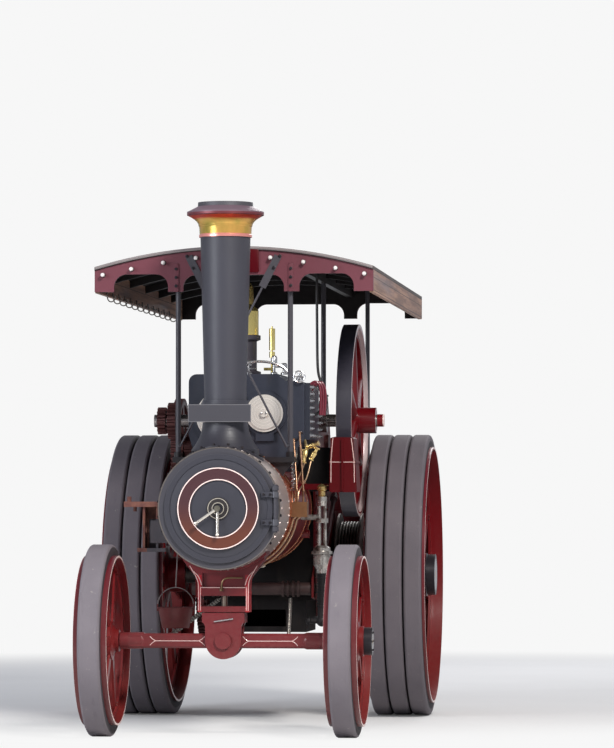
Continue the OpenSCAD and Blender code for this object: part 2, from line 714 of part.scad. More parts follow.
module gear_blank(n, x, bore) {
  ra = tooth_m * (n / 2 + 0.9);
  rd = tooth_m * (n / 2 - 1.15);
  pitch = 360 / n;
  outline = [for (i = [0 : n - 1], k = [[-0.31, rd], [-0.13, ra], [0.13, ra], [0.31, rd]])
    let (a = (i + k[0]) * pitch) k[1] * [cos(a), sin(a)]];
  slab_x(x) difference() {
    polygon(outline);
    circle(d = bore);
  }
}
module toothed(c, n, x, turn, bore) {
  translate([0, c[0], c[1]]) rotate([turn, 0, 0]) gear_blank(n, x, bore);
}
// six arms between a gear's rim and its boss
module armed(c, n, x, turn, bore) {
  r = tooth_m * (n / 2 - 3.4);
  difference() {
    toothed(c, n, x, turn, bore);
    translate([0, c[0], c[1]]) rotate([turn, 0, 0]) slab_x([x[0] - 1, x[1] + 1]) difference() {
      circle(r = r);
      circle(r = bore / 2 + 48);
      for (i = [0 : 2]) rotate(i * 60) square([2 * r, 56], center = true);
    }
  }
}
// each pair meshes along the line between its centres: a tooth of one meets a gap of the other
module gearing() {
  a12 = atan2(shaft2[1] - crank_c[1], shaft2[0] - crank_c[0]);
  a23 = atan2(shaft3[1] - shaft2[1], shaft3[0] - shaft2[0]);
  a34 = atan2(axle_c[1] - shaft3[1], axle_c[0] - shaft3[0]);
  color("dimgray") engine() {
    toothed(crank_c, teeth[0], [-676, -616], a12, shaft_d);
    toothed(crank_c, 16, [-752, -692], 5, shaft_d);
    armed(shaft2, teeth[1], [-676, -616], a12 + 180 + 180 / teeth[1], counter_d);
    toothed(shaft2, teeth[2], [-608, -548], a23, counter_d);
    armed(shaft3, teeth[3], [-608, -548], a23 + 180 + 180 / teeth[3], counter_d);
    toothed(shaft3, teeth[4], [-540, -462], a34, counter_d);
    armed(axle_c, teeth[5], [-540, -462], a34 + 180 + 180 / teeth[5], rear_axle_d);
    bar_x([-690, horn_out + 20], shaft2[0], shaft2[1], counter_d);
    bar_x([-690, -horn_in + 25], shaft3[0], shaft3[1], counter_d);
    both() bar_x([horn_out, horn_out + 24], shaft2[0], shaft2[1], counter_d + 60);
    bar_x([-horn_out - 24, -horn_out], shaft3[0], shaft3[1], counter_d + 60);
  }
}

module crankshaft() {
  color("silver") engine() {
    bar_x([-778, 880], crank_y, crank_z, shaft_d);
    for (x = [motion_x - 88, motion_x + 48]) difference() {
      slab_x([x, x + 40]) {
        translate(crank_c) circle(r = 85);
        translate(crank_pin) circle(r = 62);
        translate(crank_c) rotate(crank_angle) {
          translate([0, -60]) square([crank_throw, 120]);
          translate([-150, -75]) square([150, 150]);
        }
      }
    }
    bar_x([motion_x - 60, motion_x + 60], crank_pin[0], crank_pin[1], pin_d);
    both() bar_x([horn_in - 50, horn_out + 50], crank_y, crank_z, 170);
    both() translate([0, crank_y, crank_z + 80]) bar_z(horn_out + 18, 0, [0, 90], 34);
  }
}

module flywheel() {
  color("darkslategray") engine() translate([fly_x0 + flywheel_w / 2, crank_y, crank_z])
      rotate([0, 90, 0]) difference() {
    union() {
      rotate_extrude() {
        translate([flywheel_d / 2 - 34, -flywheel_w / 2]) square([34, flywheel_w]);
        translate([flywheel_d / 2 - 84, -26]) square([60, 52]);
      }
      translate([0, 0, -fly_hub_in]) cylinder(d = fly_hub_d, h = fly_hub_in + flywheel_w / 2 + 4);
      for (i = [0 : 5]) rotate([0, 0, i * 60]) translate([70, 0, 0]) rotate([0, 90, 0])
        cylinder(d1 = 92, d2 = 48, h = flywheel_d / 2 - 125);
    }
    translate([0, 0, -200]) cylinder(d = shaft_d + 2 * run_fit, h = 500);
  }
  // the hub's outer boss is a ring keyed against the wheel
  color("firebrick") engine() difference() {
    bar_x([fly_x0 + flywheel_w + 4.3, fly_x0 + flywheel_w + 117], crank_y, crank_z, fly_hub_d);
    bar_x([fly_x0, fly_x0 + 300], crank_y, crank_z, shaft_d + 2 * run_fit);
  }
}

// Ashpan and tender
module ashpan() {
  color("black") engine() difference() {
    slab_x([-345, 345]) polygon([[1955, 640], [2600, 640], [2640, firebox_bottom], [1930, firebox_bottom]]);
    slab_x([-339, 339]) polygon([[1962, 646], [2593, 646], [2632, firebox_bottom + 1],
        [1938, firebox_bottom + 1]]);
    block([-200, 200], [1900, 1975], [680, 800]);
  }
}

// The tender is made of plates that stand edge to edge, a joint_gap apart: the water tank with its
// coal walls, the raised box under the lid, the drawbar, and the floor and sides of the footplate.
tank_floor_z = 1180;
coal_wall_z = [tank_floor_z + joint_gap, tank_top];
coal_in = tank_half_w - sheet_t - joint_gap;
module filler_box() {
  block([-coal_in, -300], [tank_y[0], tank_y[0] + 300], coal_wall_z);
  bar_z(lid_c[0], lid_c[1], [tank_top - 5, tank_top + 22], 170);
  bar_x([-510, -390], lid_pin_y, tank_top + 30, 16);
  for (x = [-510, -406]) block([x, x + 16], [lid_pin_y - 13, lid_pin_y + 13],
      [tank_top - 5, tank_top + 38]);
}
module drawbar() {
  difference() {
    union() {
      block([-90, 90], [tank_y[1] + joint_gap, tank_y[1] + 130], [760, 800]);
      bar_z(0, tank_y[1] + 130, [760, 800], 180);
    }
    bar_z(0, tank_y[1] + 130, [750, 810], 42);
  }
}
module tender() {
  color("firebrick") engine() {
    slab_x([-tank_half_w, tank_half_w]) polygon(concat([[tank_y[0], 700], [tank_y[1] - 60, 700]],
      arc([tank_y[1] - 60, 760], 60, -90, 0, 4), [[tank_y[1], tank_floor_z], [tank_y[0], tank_floor_z]]));
    both() block([tank_half_w - sheet_t, tank_half_w], tank_y, coal_wall_z);
    block([-coal_in, coal_in], [tank_y[1] - sheet_t, tank_y[1]], coal_wall_z);
    block([horn_in - 40, coal_in], [tank_y[0], tank_y[0] + sheet_t], coal_wall_z);
    filler_box();
    drawbar();
    difference() {
      both() block([horn_out, horn_out + sheet_t], [wheelbase + 50, tank_y[0] - joint_gap],
          [floor_z - 8, 1500]);
      bar_x([-horn_out - 60, horn_out + 60], wheelbase, rear_axle_z, boss_d + 4);
    }
    both() block([horn_in - 30, horn_out - joint_gap], [wheelbase + 240, wheelbase + 290],
      [floor_z + 10 + joint_gap, 1500]);
    difference() {
      block([-horn_in, horn_in], [firebox_y1 + 50, tank_y[0] - joint_gap], [floor_z, floor_z + 10]);
      bar_x([-horn_in - 1, horn_in + 1], wheelbase, rear_axle_z, 178);
    }
  }
}

module tank_lid() {
  color("firebrick") engine() difference() {
    union() {
      bar_z(lid_c[0], lid_c[1], [tank_top + 23, tank_top + 35], 190);
      block([lid_c[0] - 30, lid_c[0] + 30], [lid_c[1] + 60, lid_pin_y], [tank_top + 23, tank_top + 35]);
      bar_x([lid_c[0] - 38, lid_c[0] + 38], lid_pin_y, tank_top + 30, 26);
      bar_x([lid_c[0] - 30, lid_c[0] + 30], lid_c[1] - 70, tank_top + 48, 14);
      for (s = [-1, 1]) bar_z(lid_c[0] + s * 30, lid_c[1] - 70, [tank_top + 30, tank_top + 48], 12);
    }
    bar_x([lid_c[0] - 60, lid_c[0] + 60], lid_pin_y, tank_top + 30, 16 + 2 * run_fit);
  }
}

// regulator, gauge, water glass, reversing lever and brake wheel
brake_c = [250, tank_y[0] - 175, 1810];
module backhead() {
  color("gold") engine() {
    bar_y(0, [firebox_y1, firebox_y1 + 50], 1760, 110);
    rod([0, firebox_y1 + 40, 1760], [170, firebox_y1 + 44, 1800], 22);
    for (x = [-160, -100]) {
      for (z = [1550, 1730]) bar_y(x, [firebox_y1, firebox_y1 + 60], z, 30);
      bar_z(x, firebox_y1 + 48, [1530, 1750], 22);
    }
    bar_z(120, firebox_y1 + 25, [1850, 2040], 20);
    translate([120, firebox_y1 + 30, 2120]) rotate([90, 0, 0]) cylinder(d = 170, h = 50, center = true);
    block([110, 130], [firebox_y1, firebox_y1 + 35], [1840, 1866]);
  }
  color("silver") engine() {
    block([lever_x - 20, lever_x + 20], [2790, 2930], [floor_z + 10, floor_z + 40]);
    slab_x([lever_x - 10, lever_x + 10]) polygon([[lever_foot - 22, floor_z + 30],
        [lever_foot + 22, floor_z + 30],
      [lever_head[0] + 13, lever_head[1]], [lever_head[0] + 20, 2040], [lever_head[0] - 8, 2040],
      [lever_head[0] - 13, lever_head[1]]]);
    bar_z(lever_x, lever_head[0] + 6, [2035, 2120], 34);
    slab_x([lever_x - 34, lever_x - 22]) {
      intersection() {
        difference() {
          translate([lever_foot, floor_z + 40]) circle(r = 612);
          translate([lever_foot, floor_z + 40]) circle(r = 574);
        }
        translate([2725, floor_z + 200]) square([300, 600]);
      }
      for (a = [76, 102]) translate([lever_foot, floor_z + 25]) rotate(a) translate([0, -14])
          square([592, 28]);
    }
    block([lever_x - 34, lever_x - 18], [2840, 2880], [floor_z + 10, floor_z + 40]);
    bar_z(brake_c[0], brake_c[1], [floor_z + 10, brake_c[2] - 15 - joint_gap], 34);
    translate(brake_c) rotate_extrude() translate([130, 0]) circle(d = 22, $fn = 20);
    for (a = [0, 90]) translate(brake_c) rotate([0, 0, a]) bar_x([-130, 130], 0, 0, 14);
    bar_z(brake_c[0], brake_c[1], [brake_c[2] - 15, brake_c[2] + 20], 46);
  }
}

// Side fittings
pump_c = [531, 1200];
feed_x = 440;
feed_z = 740;
module feed_pump() {
  x = pump_c[0];
  y = pump_c[1];
  color("silver") engine() {
    translate([x, y, 0]) rotate_extrude() polygon([[0, 1536], [30, 1536], [36, 1570], [36, 1600],
        [24, 1610], [24, 1640],
      [34, 1650], [34, 1670], [12, 1688], [0, 1690]]);
    bar_z(x - 20, y, [1250, 1545], 30);
    bar_z(x + 22, y, [1250, 1545], 24);
    bar_z(x, y, [1420, 1450], 90);
    translate([x, y, 0]) rotate_extrude() polygon([[0, 1070], [40, 1070], [40, 1100], [60, 1130],
        [60, 1200], [74, 1205],
      [74, 1222], [60, 1226], [60, 1244], [40, 1262], [0, 1262]]);
    for (i = [0 : 11]) bar_z(x, y, [838 + i * 19.5, 848 + i * 19.5], 74);
    bar_z(x, y, [feed_z, 1075], 58);
    translate([x, y, feed_z]) sphere(d = 78);
    bar_x([feed_x, x], y, feed_z, 36);
    translate([feed_x, y, feed_z]) sphere(d = 48);
    bar_y(feed_x, [y, tank_y[0]], feed_z, 36);
    difference() {
      block([330, x - 24], [y - 22, y + 22], [1440, 1476]);
      barrel_cut();
    }
  }
}

module side_bracket() {
  color("sienna") engine() difference() {
    union() {
      block([-685, -400], [40, 200], [1530, 1566]);
      block([-560, -545], [60, 180], [1255, 1530]);
      block([-470, -455], [60, 180], [1255, 1530]);
      block([-560, -455], [165, 180], [1255, 1530]);
      block([-595, -405], [50, 190], [1230, 1255]);
      block([-507, -385], [52, 60], [1290, 1440]);
      block([-470, -385], [58, 76], [1300, 1430]);
      bar_z(-660, 120, [1566, 1600], 30);
      bar_z(-620, 120, [1500, 1530], 24);
    }
    barrel_cut();
    bar_x([-600, -440], 120, 1380, 60);
  }
}

bucket_c = [-365, 270];
module bucket() {
  color("maroon") engine() translate([bucket_c[0], bucket_c[1], 0]) {
    difference() {
      union() {
        translate([0, 0, 716]) cylinder(d1 = 180, d2 = 240, h = 138);
        translate([0, 0, 848]) cylinder(d = 250, h = 8);
      }
      translate([0, 0, 720]) cylinder(d1 = 174, d2 = 235, h = 140);
    }
    for (s = [-1, 1]) block([s * 122 - 4, s * 122 + 4], [-14, 14], [830, 876]);
    translate([0, 0, 866]) rotate([90, 0, 0]) rotate_extrude(angle = 180) translate([122, 0])
        circle(d = 7, $fn = 16);
    difference() {
      rod([0, 0, 986], [20, 0, 1390], 9);
      translate([-bucket_c[0], -bucket_c[1], 0]) barrel_cut();
    }
  }
}

module tool_box() {
  color("firebrick") engine() {
    slab_y([1170, 1460]) polygon([[586, 1640], [592, 1632], [772, 1632], [778, 1640], [766, 1830],
        [772, 1834],
      [771, 1848], [764, 1850], [753, 2004], [744, 2012], [604, 2012], [596, 2004], [590, 1850],
          [584, 1848],
      [583, 1834], [588, 1830]]);
    slab_y([1150, 1172]) polygon([[672, 1640], [684, 1640], [682, 2000], [670, 2000]]);
    difference() {
      block([330, 590], [1290, 1330], [1650, 1690]);
      barrel_cut();
    }
  }
}

// brass lubricator box on the boiler and the two pipes from it to the cylinders
oil_box = [[372, 500], [500, 600], [1462, 1564]];
module pipes() {
  color("chocolate") engine() {
    difference() {
      block(oil_box[0], oil_box[1], oil_box[2]);
      barrel_cut();
    }
    for (i = [0 : 1]) {
      x = 428 + 40 * i;
      z = 1990 + 46 * i;
      pipe([[x, 535 + 30 * i, oil_box[2][1] - 4], [x, 535 + 30 * i, 1640], [x - 34, 650, z],
          [x - 34, cyl_y[0], z]], 15);
    }
  }
}

// Canopy
module roof_disc(drop) { translate([0, roof_cz]) circle(r = roof_r - drop, $fn = 720); }
module roof_band(top, bottom) {
  intersection() {
    difference() {
      roof_disc(top);
      roof_disc(bottom);
    }
    translate([-canopy_half_w, 2800]) square([2 * canopy_half_w, 800]);
  }
}

module canopy_roof() {
  color("lightgray") engine() slab_y([canopy_y0 - 12, canopy_y1]) roof_band(0, roof_t);
}

// an opening with rounded upper corners
module arched(x0, x1, top, r) {
  translate([x0, 2900]) square([x1 - x0, top - r - 2900]);
  translate([x0 + r, top - r - 10]) square([x1 - x0 - 2 * r, r + 10]);
  for (x = [x0 + r, x1 - r]) translate([x, top - r]) circle(r = r);
}
fascia_foot = 2992;
module fascia_outline() {
  difference() {
    intersection() {
      roof_disc(roof_t);
      translate([-canopy_half_w, fascia_foot]) square([2 * canopy_half_w, 400]);
    }
    arched(-345, 345, 3106, 86);
    for (s = [-1, 1]) translate([s * 634, 0]) arched(-186, 186, 3112, 86);
  }
}
rib_y = [1250, 1950, 2740, 3450, 4150];
rib_h = 50;
beam_z = 3160;
beam_x = [365, 411];
board_t = 28;
board_y = [canopy_y0 + fascia_t + joint_gap, canopy_y1 - fascia_t - joint_gap];
module canopy_frame() {
  color("maroon") engine() {
    for (y = [canopy_y0, canopy_y1 - fascia_t]) slab_y([y, y + fascia_t]) fascia_outline();
    both() slab_y(board_y) intersection() {
      roof_disc(roof_t);
      translate([canopy_half_w - board_t, side_board_z]) square([board_t, 300]);
    }
    for (y = rib_y) slab_y([y, y + 40]) difference() {
      roof_band(roof_t, roof_t + rib_h);
      for (s = [-1, 1]) {
        translate([s * (beam_x[0] + beam_x[1]) / 2, beam_z])
            square([beam_x[1] - beam_x[0] + 2 * joint_gap, 400], center = true);
        translate([s * canopy_half_w, beam_z]) square([2 * (board_t + joint_gap), 600], center = true);
      }
    }
    both() slab_y(board_y) intersection() {
      roof_disc(roof_t);
      translate([beam_x[0], beam_z]) square([beam_x[1] - beam_x[0], 200]);
    }
  }
}

// three pairs of posts, their feet, and the crossed front stays with their straps
post_x = 383;
mid_post_x = horn_in - 5;
mid_post_y = 2640;
rear_post = [tank_half_w - 18, rib_y[4] + 20];
post_y = 532;
module canopy_posts() {
  color("dimgray") engine() {
    both() {
      bar_z(post_x, post_y, [1850, beam_z], 36);
      bar_z(post_x, post_y, [1866, 1900], 58);
      difference() {
        union() {
          block([150, post_x + 34], [post_y - 45, post_y + 45], [1832, 1868]);
          slab_y([post_y - 10, post_y + 10]) polygon([[250, 1700], [300, 1700], [post_x + 20, 1836],
              [200, 1836]]);
        }
        barrel_cut();
      }
      bar_z(mid_post_x, mid_post_y, [2330, beam_z], 36);
      bar_z(mid_post_x, mid_post_y, [2330, 2344], 72);
      intersection() {
        bar_z(rear_post[0], rear_post[1], [tank_top, canopy_top_z], 34);
        slab_y([rear_post[1] - 20, rear_post[1] + 20]) roof_disc(roof_t + rib_h + 0.3);
      }
      block([tank_half_w - 40, tank_half_w], [rear_post[1] - 30, rear_post[1] + 30],
          [tank_top, tank_top + 12]);
    }
    for (s = [-1, 1]) {
      rod([s * 205, canopy_y0 - 5 + s * 9, 3036], [-s * 366, canopy_y0 - 5 + s * 9, 1936], 15);
      aim([s * 196, canopy_y0 - 5, 3020], [s * 318, canopy_y0 - 5, 3256])
        translate([-25, -4, 0]) cube([50, 9, 238]);
      rod([-s * 362, canopy_y0 - 8, 1944], [-s * 378, post_y, 1944], 18);
    }
  }
}

bulbs = [[254, 3219], [478, 3188], [697, 3146], [893, 3107]];
module lamps() {
  color("ivory") engine() for (b = bulbs) both() translate([b[0], canopy_y0, b[1]]) {
    translate([0, -34, 0]) sphere(d = 42, $fn = 24);
    rotate([90, 0, 0]) cylinder(d = 26, h = 20);
  }
}

smokebox();
smokebox_door();
crest_ring();
boiler();
firebox();
firehole_door();
hornplates();
chimney();
chimney_cap();
number_plate();
perch_bracket();
front_axle();
front_rim_left();
front_rim_right();
front_tyre_left();
front_tyre_right();
rear_rim_left();
rear_rim_right();
rear_tyre_left();
rear_tyre_right();
rear_axle();
winding_drum();
flywheel();
cylinder_block();
cylinder_covers();
safety_valve();
motion();
crankshaft();
gearing();
ashpan();
steering_gear();
steering_chain_left();
steering_chain_right();
tender();
tank_lid();
backhead();
feed_pump();
side_bracket();
bucket();
tool_box();
pipes();
canopy_roof();
canopy_frame();
canopy_posts();
lamps();
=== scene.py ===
# %% [markdown]
# # A steam traction engine under its canopy
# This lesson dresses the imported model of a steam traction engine. The packed
# solids give every size, so each cell below adds either a finish or a fine
# piece that the solids leave out: lining, rivets, bolts, pipes, chain links
# and bulbs. Lengths are metres; the engine faces -Y and +X is its left.

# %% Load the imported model
from math import atan, cos, pi, radians, sin, sqrt, tau
import bpy
import bmesh
from mathutils import Vector, Matrix


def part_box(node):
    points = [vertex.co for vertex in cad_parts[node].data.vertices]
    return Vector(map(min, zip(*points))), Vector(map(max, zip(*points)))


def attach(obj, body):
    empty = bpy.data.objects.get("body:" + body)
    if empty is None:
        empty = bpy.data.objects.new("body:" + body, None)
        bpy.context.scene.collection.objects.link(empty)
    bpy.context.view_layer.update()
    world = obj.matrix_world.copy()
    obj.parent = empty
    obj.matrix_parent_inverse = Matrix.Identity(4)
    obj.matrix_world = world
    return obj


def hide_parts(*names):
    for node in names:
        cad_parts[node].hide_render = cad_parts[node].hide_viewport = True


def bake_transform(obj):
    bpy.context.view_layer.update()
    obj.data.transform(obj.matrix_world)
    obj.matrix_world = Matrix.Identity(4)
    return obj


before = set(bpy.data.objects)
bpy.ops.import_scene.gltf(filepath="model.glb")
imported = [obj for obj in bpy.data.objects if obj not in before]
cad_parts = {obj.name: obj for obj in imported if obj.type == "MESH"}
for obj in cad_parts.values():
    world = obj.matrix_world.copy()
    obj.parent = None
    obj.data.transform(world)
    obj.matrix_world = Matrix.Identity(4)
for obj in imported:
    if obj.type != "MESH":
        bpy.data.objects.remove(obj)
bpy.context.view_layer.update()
AXLE_Y = (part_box("front_tyre_left")[0][1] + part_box("front_tyre_left")[1][1]) / 2


def at(y):
    """A place measured behind the front axle, in the shared frame."""
    return AXLE_Y + y


# %% [markdown]
# ## Camera
# The picture was taken from far away with a long lens, a little to the left
# of the engine's own line and at about chest height. A long lens keeps the
# near and far wheels almost the same size, so the lens and the distance are
# set together: 28 m and 204 mm.

# %% Camera
IMAGE_ROWS = 748
HORIZON_ROW = 504  # where a level line of sight meets the picture
FOCAL = 4245       # the lens in rows of the picture
cam_data = bpy.data.cameras.new("camera")
cam = bpy.data.objects.new("camera", cam_data)
bpy.context.scene.collection.objects.link(cam)
cam_data.sensor_width = 36
cam_data.sensor_fit = "AUTO"
cam_data.lens = FOCAL * 36 / IMAGE_ROWS
cam_data.clip_end = 200
yaw = radians(5.89)
pitch = atan((HORIZON_ROW - IMAGE_ROWS / 2) / FOCAL)
cam.location = (3.449, at(-28.09), 1.55)
cam.rotation_euler = (radians(90) + pitch, 0, yaw)
bpy.context.scene.camera = cam
print("lens", round(cam_data.lens, 1), "camera", tuple(round(v, 3) for v in cam.location))

# %% [markdown]
# ## Materials written as arithmetic
# A Blender material is a network of nodes. Wiring each node by hand hides
# what the network does, so a small class wraps a socket: adding, multiplying
# or comparing two of them adds the Math node that does it.


# %% Shader helpers
def linear(color):
    """The linear values a shader wants, from a colour of 0 to 255 as a screen shows it."""
    if max(color) <= 1:  # linear already
        return color
    return tuple((c / 255 / 12.92) if c < 11 else ((c / 255 + 0.055) / 1.055) ** 2.4 for c in color)


def operation(op, flip=False):
    """A method that adds one Math node; flipped, the plain number comes first."""
    def method(self, other=0):
        a, b = (other, self) if flip else (self, other)
        return self.kit.node("Math", {"operation": op}, {0: a, 1: b})[0]
    return method


class Sock:
    """Wraps a shader socket so that plain arithmetic adds Math nodes."""

    def __init__(self, kit, socket):
        self.kit, self.socket = kit, socket

    __add__, __radd__ = operation("ADD"), operation("ADD", True)
    __sub__, __rsub__ = operation("SUBTRACT"), operation("SUBTRACT", True)
    __mul__, __rmul__ = operation("MULTIPLY"), operation("MULTIPLY", True)
    __gt__, __lt__ = operation("GREATER_THAN"), operation("LESS_THAN")
    __pow__, __abs__ = operation("POWER"), operation("ABSOLUTE")
    max, min, mod = operation("MAXIMUM"), operation("MINIMUM"), operation("FLOORED_MODULO")

    def near(self, width, *values):
        """1 within width of any of the values, 0 elsewhere, with a hard edge."""
        hit = None
        for value in values:
            one = self.kit.node("Math", {"operation": "COMPARE"}, {0: self, 1: value, 2: width})[0]
            hit = hit.max(one) if hit else one
        return hit

    def step(self, low, high):
        """0 below low, 1 above high, smooth between them."""
        return self.kit.node("MapRange", {"interpolation_type": "SMOOTHSTEP"},
                             {"Value": self, "From Min": low, "From Max": high})[0]


class Nodes:
    """The node network of a material or of the world."""

    def __init__(self, owner, output):
        owner.use_nodes = True
        self.tree = owner.node_tree
        self.tree.nodes.clear()
        self.out = self.tree.nodes.new("ShaderNodeOutput" + output)

    def node(self, kind, settings=None, inputs=None):
        n = self.tree.nodes.new("ShaderNode" + kind)
        for key, value in (settings or {}).items():
            setattr(n, key, value)
        for key, value in (inputs or {}).items():
            if isinstance(value, Sock):
                self.tree.links.new(value.socket, n.inputs[key])
            else:
                n.inputs[key].default_value = value
        return [Sock(self, s) for s in n.outputs]

    def close(self, shader):
        """Joins the last shader to the output."""
        self.tree.links.new(shader.socket, self.out.inputs[0])


class Finish(Nodes):
    """One material, with the place of each point and the few calls that fill it."""

    def __init__(self, name):
        self.mat = bpy.data.materials.new(name)
        super().__init__(self.mat, "Material")
        self.spot = self.node("TexCoord")[3]
        self.x, self.y, self.z = self.node("SeparateXYZ", None, {0: self.spot})
        self.aft = self.y - AXLE_Y

    def noise(self, scale, detail=3.0, rough=0.5, vector=None):
        return self.node("TexNoise", None, {"Vector": vector or self.spot, "Scale": scale, "Detail": detail,
                                            "Roughness": rough})[0]

    def stretch(self, x, y, z):
        return self.node("VectorMath", {"operation": "MULTIPLY"}, {0: self.spot, 1: (x, y, z)})[0]

    def mix(self, factor, a, b):
        """Blends two colours."""
        def colour(c):
            return c if isinstance(c, Sock) else (*linear(c), 1.0)
        return self.node("Mix", {"data_type": "RGBA"}, {"Factor": factor, 6: colour(a), 7: colour(b)})[2]

    def bump(self, height, strength, distance):
        return self.node("Bump", None, {"Strength": strength, "Distance": distance, "Height": height})[0]

    def skin(self, scale, strength, distance, detail=3.0):
        """A fine unevenness all over."""
        return self.bump(self.noise(scale, detail), strength, distance)

    def surface(self, skin=None, **inputs):
        """The Principled shader; a skin is (scale, strength, distance) and, for finer grain, detail."""
        names = {"color": "Base Color", "rough": "Roughness", "metal": "Metallic", "normal": "Normal",
                 "coat": "Coat Weight", "coat_rough": "Coat Roughness", "spec": "Specular IOR Level",
                 "emit": "Emission Color", "emit_power": "Emission Strength"}
        inputs.setdefault("spec", 0.3)
        if skin:
            inputs["normal"] = self.skin(*skin)
        return self.node("BsdfPrincipled", None, {names[k]: v for k, v in inputs.items()})[0]

    def shade(self, **inputs):
        """The finished material."""
        self.close(self.surface(**inputs))
        return self.mat

    def layered(self, base, layers, metal=0.0, **inputs):
        """The material with layers (mask, colour, roughness, metalness) over a base (colour, roughness)."""
        col, rg = base
        for mask, c, r, m in layers:
            col = self.mix(mask, col, c)
            rg = rg * (1.0 - mask) + mask * r
            metal = metal * (1.0 - mask) + mask * m
        return self.shade(color=col, rough=rg, metal=metal, **inputs)


# %% [markdown]
# ## Floor and light
# The floor is a wide pale sheet. Round the engine it is lit and keeps the
# shadow; further off, where the lamps no longer reach it, the camera sees it
# fade into the same plain near-white as the backdrop. Three large soft lamps
# stand for an overcast bright day: one above and in front, a weaker one on
# the engine's right, and one behind.

# %% Floor and backdrop
BACKDROP = (0.93, 0.93, 0.93, 1.0)
bpy.ops.object.select_all(action="DESELECT")
bpy.ops.mesh.primitive_plane_add(size=60, location=(0, 6, 0))
floor = bpy.context.object
floor.name = "floor"
fin = Finish("floor_paper")
paper = fin.mix(fin.noise(0.8, 2.0), (0.74, 0.73, 0.72), (0.8, 0.79, 0.78))
lit = fin.surface(color=paper, rough=0.9, spec=0.1)
faraway = ((fin.x * fin.x + fin.y * fin.y) ** 0.5).step(4.5, 9.0)
seen = fin.node("LightPath")[0]
glow = fin.node("Emission", None, {0: BACKDROP, 1: 1.0})[0]
fin.close(fin.node("MixShader", None, {0: faraway * seen, 1: lit, 2: glow})[0])
floor.data.materials.append(fin.mat)

world = bpy.data.worlds.new("studio")
bpy.context.scene.world = world
air = Nodes(world, "World")
sky = air.node("Background", None, {0: (0.8, 0.86, 1.0, 1.0), 1: 0.36})[0]
pale = air.node("Background", None, {0: BACKDROP, 1: 1.0})[0]
ray = {sock.socket.name: sock for sock in air.node("LightPath")}
shown = ray["Is Glossy Ray"] * 0.22 + ray["Is Camera Ray"].max(ray["Is Transmission Ray"])
air.close(air.node("MixShader", None, {0: shown.min(1.0), 1: sky, 2: pale})[0])
print("floor of", floor.dimensions.x, "m")


# %% Lamps
def lamp(name, place, target, size, power, tint):
    data = bpy.data.lights.new(name, "AREA")
    data.shape = "DISK"
    data.size = size
    data.energy = power
    data.color = tint
    obj = bpy.data.objects.new(name, data)
    bpy.context.scene.collection.objects.link(obj)
    obj.location = place
    obj.rotation_euler = (Vector(target) - Vector(place)).to_track_quat("-Z", "Y").to_euler()


lamp("key", (5.5, -11, 10), (0, -0.5, 1.6), 3, 2000, (1, 0.97, 0.93))
lamp("fill", (-9, -10, 5), (0, -0.5, 1.4), 6, 960, (0.9, 0.94, 1))
lamp("rear", (2, 12, 8), (0, 0.5, 1.6), 7, 600, (1, 1, 1))
bpy.context.scene.view_settings.view_transform = "Standard"
print("lamps", len(bpy.data.lights))

# %% [markdown]
# ## Paints and metals
# Every finish below is a small node network: a base colour that drifts a
# little from place to place, dust that settles low down, and a fine bump, so
# that nothing looks like flat plastic. Lining, rims and caps of another
# colour on the same solid are laid on by their distance from an axle or by
# their place on the engine, because that keeps them exactly on the solid.


# %% Colour and paint helpers
def darker(color, k):
    return tuple(c * k for c in linear(color))


def distance(a, b):
    return (a * a + b * b) ** 0.5


DUST = (150, 132, 116)
IVORY = (230, 208, 202)
BOILER_Z = 1.52  # height of the line through the boiler, smokebox and door
# (y behind the front axle, z) of the lines that things turn on
FRONT_AXLE, REAR_AXLE, CRANK = (0, 0.64), (3.15, 1.03), (2.2, 2.148)


def dress(node, mat):
    """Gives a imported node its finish."""
    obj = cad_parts[node]
    for slot in obj.material_slots:
        slot.material = mat
    if not obj.material_slots:
        obj.data.materials.append(mat)


class Paint(Finish):
    """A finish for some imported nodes, with the distances that masks need, and wear."""

    def __init__(self, name, *nodes):
        super().__init__(name)
        for node in nodes:
            dress(node, self.mat)

    def from_axle(self, axle):
        """Distance from a line along X."""
        return distance(self.y - at(axle[0]), self.z - axle[1])

    def from_boiler(self):
        return distance(self.x, self.z - BOILER_Z)

    def worn(self, color, rough=0.34, dust=0.35, drift=0.25, grime=None):
        """Colour and roughness of old gloss paint: drifting shade, dust low down, streaks of grime."""
        fine = self.noise(38)
        if not isinstance(color, Sock):
            color = self.mix(self.noise(2.3, 4) * drift, color, darker(color, 0.55))
        low = (1 - self.z.step(0.05, 1.5)) * dust * (fine * 0.8 + 0.2)
        dusty = self.mix(low, color, DUST)
        if grime:
            drops = self.noise(9, 5, 0.65, self.stretch(1, 1, 0.25)).step(0.52, 0.72) * grime
            dusty = self.mix(drops, dusty, (0.03, 0.025, 0.02))
        return dusty, rough + fine * 0.18 + low * 0.5


def plain_paint(name, color, rough=0.34, dust=0.35, grime=None, coat=0.25, spec=0.3):
    fin = Paint(name)
    col, rg = fin.worn(color, rough, dust, 0.25, grime)
    return fin.shade(color=col, rough=rg, coat=coat, coat_rough=0.2, skin=(60, 0.35, 0.0006, 2),
                     metal=0, spec=spec)


def metal(name, color, rough=0.22, tarnish=None, spots=0.25):
    """Polished or dull metal, finely scratched, with spots of tarnish."""
    fin = Paint(name)
    brushed = fin.noise(90)
    blot = fin.noise(7, 5, 0.6).step(0.5, 0.75)
    col = fin.mix(blot * spots, color, tarnish or darker(color, 0.35))
    rg = brushed * 0.2 + (rough - 0.05) + blot * spots * 0.5
    return fin.shade(color=col, rough=rg, metal=0.92, normal=fin.bump(brushed, 0.25, 0.0004))


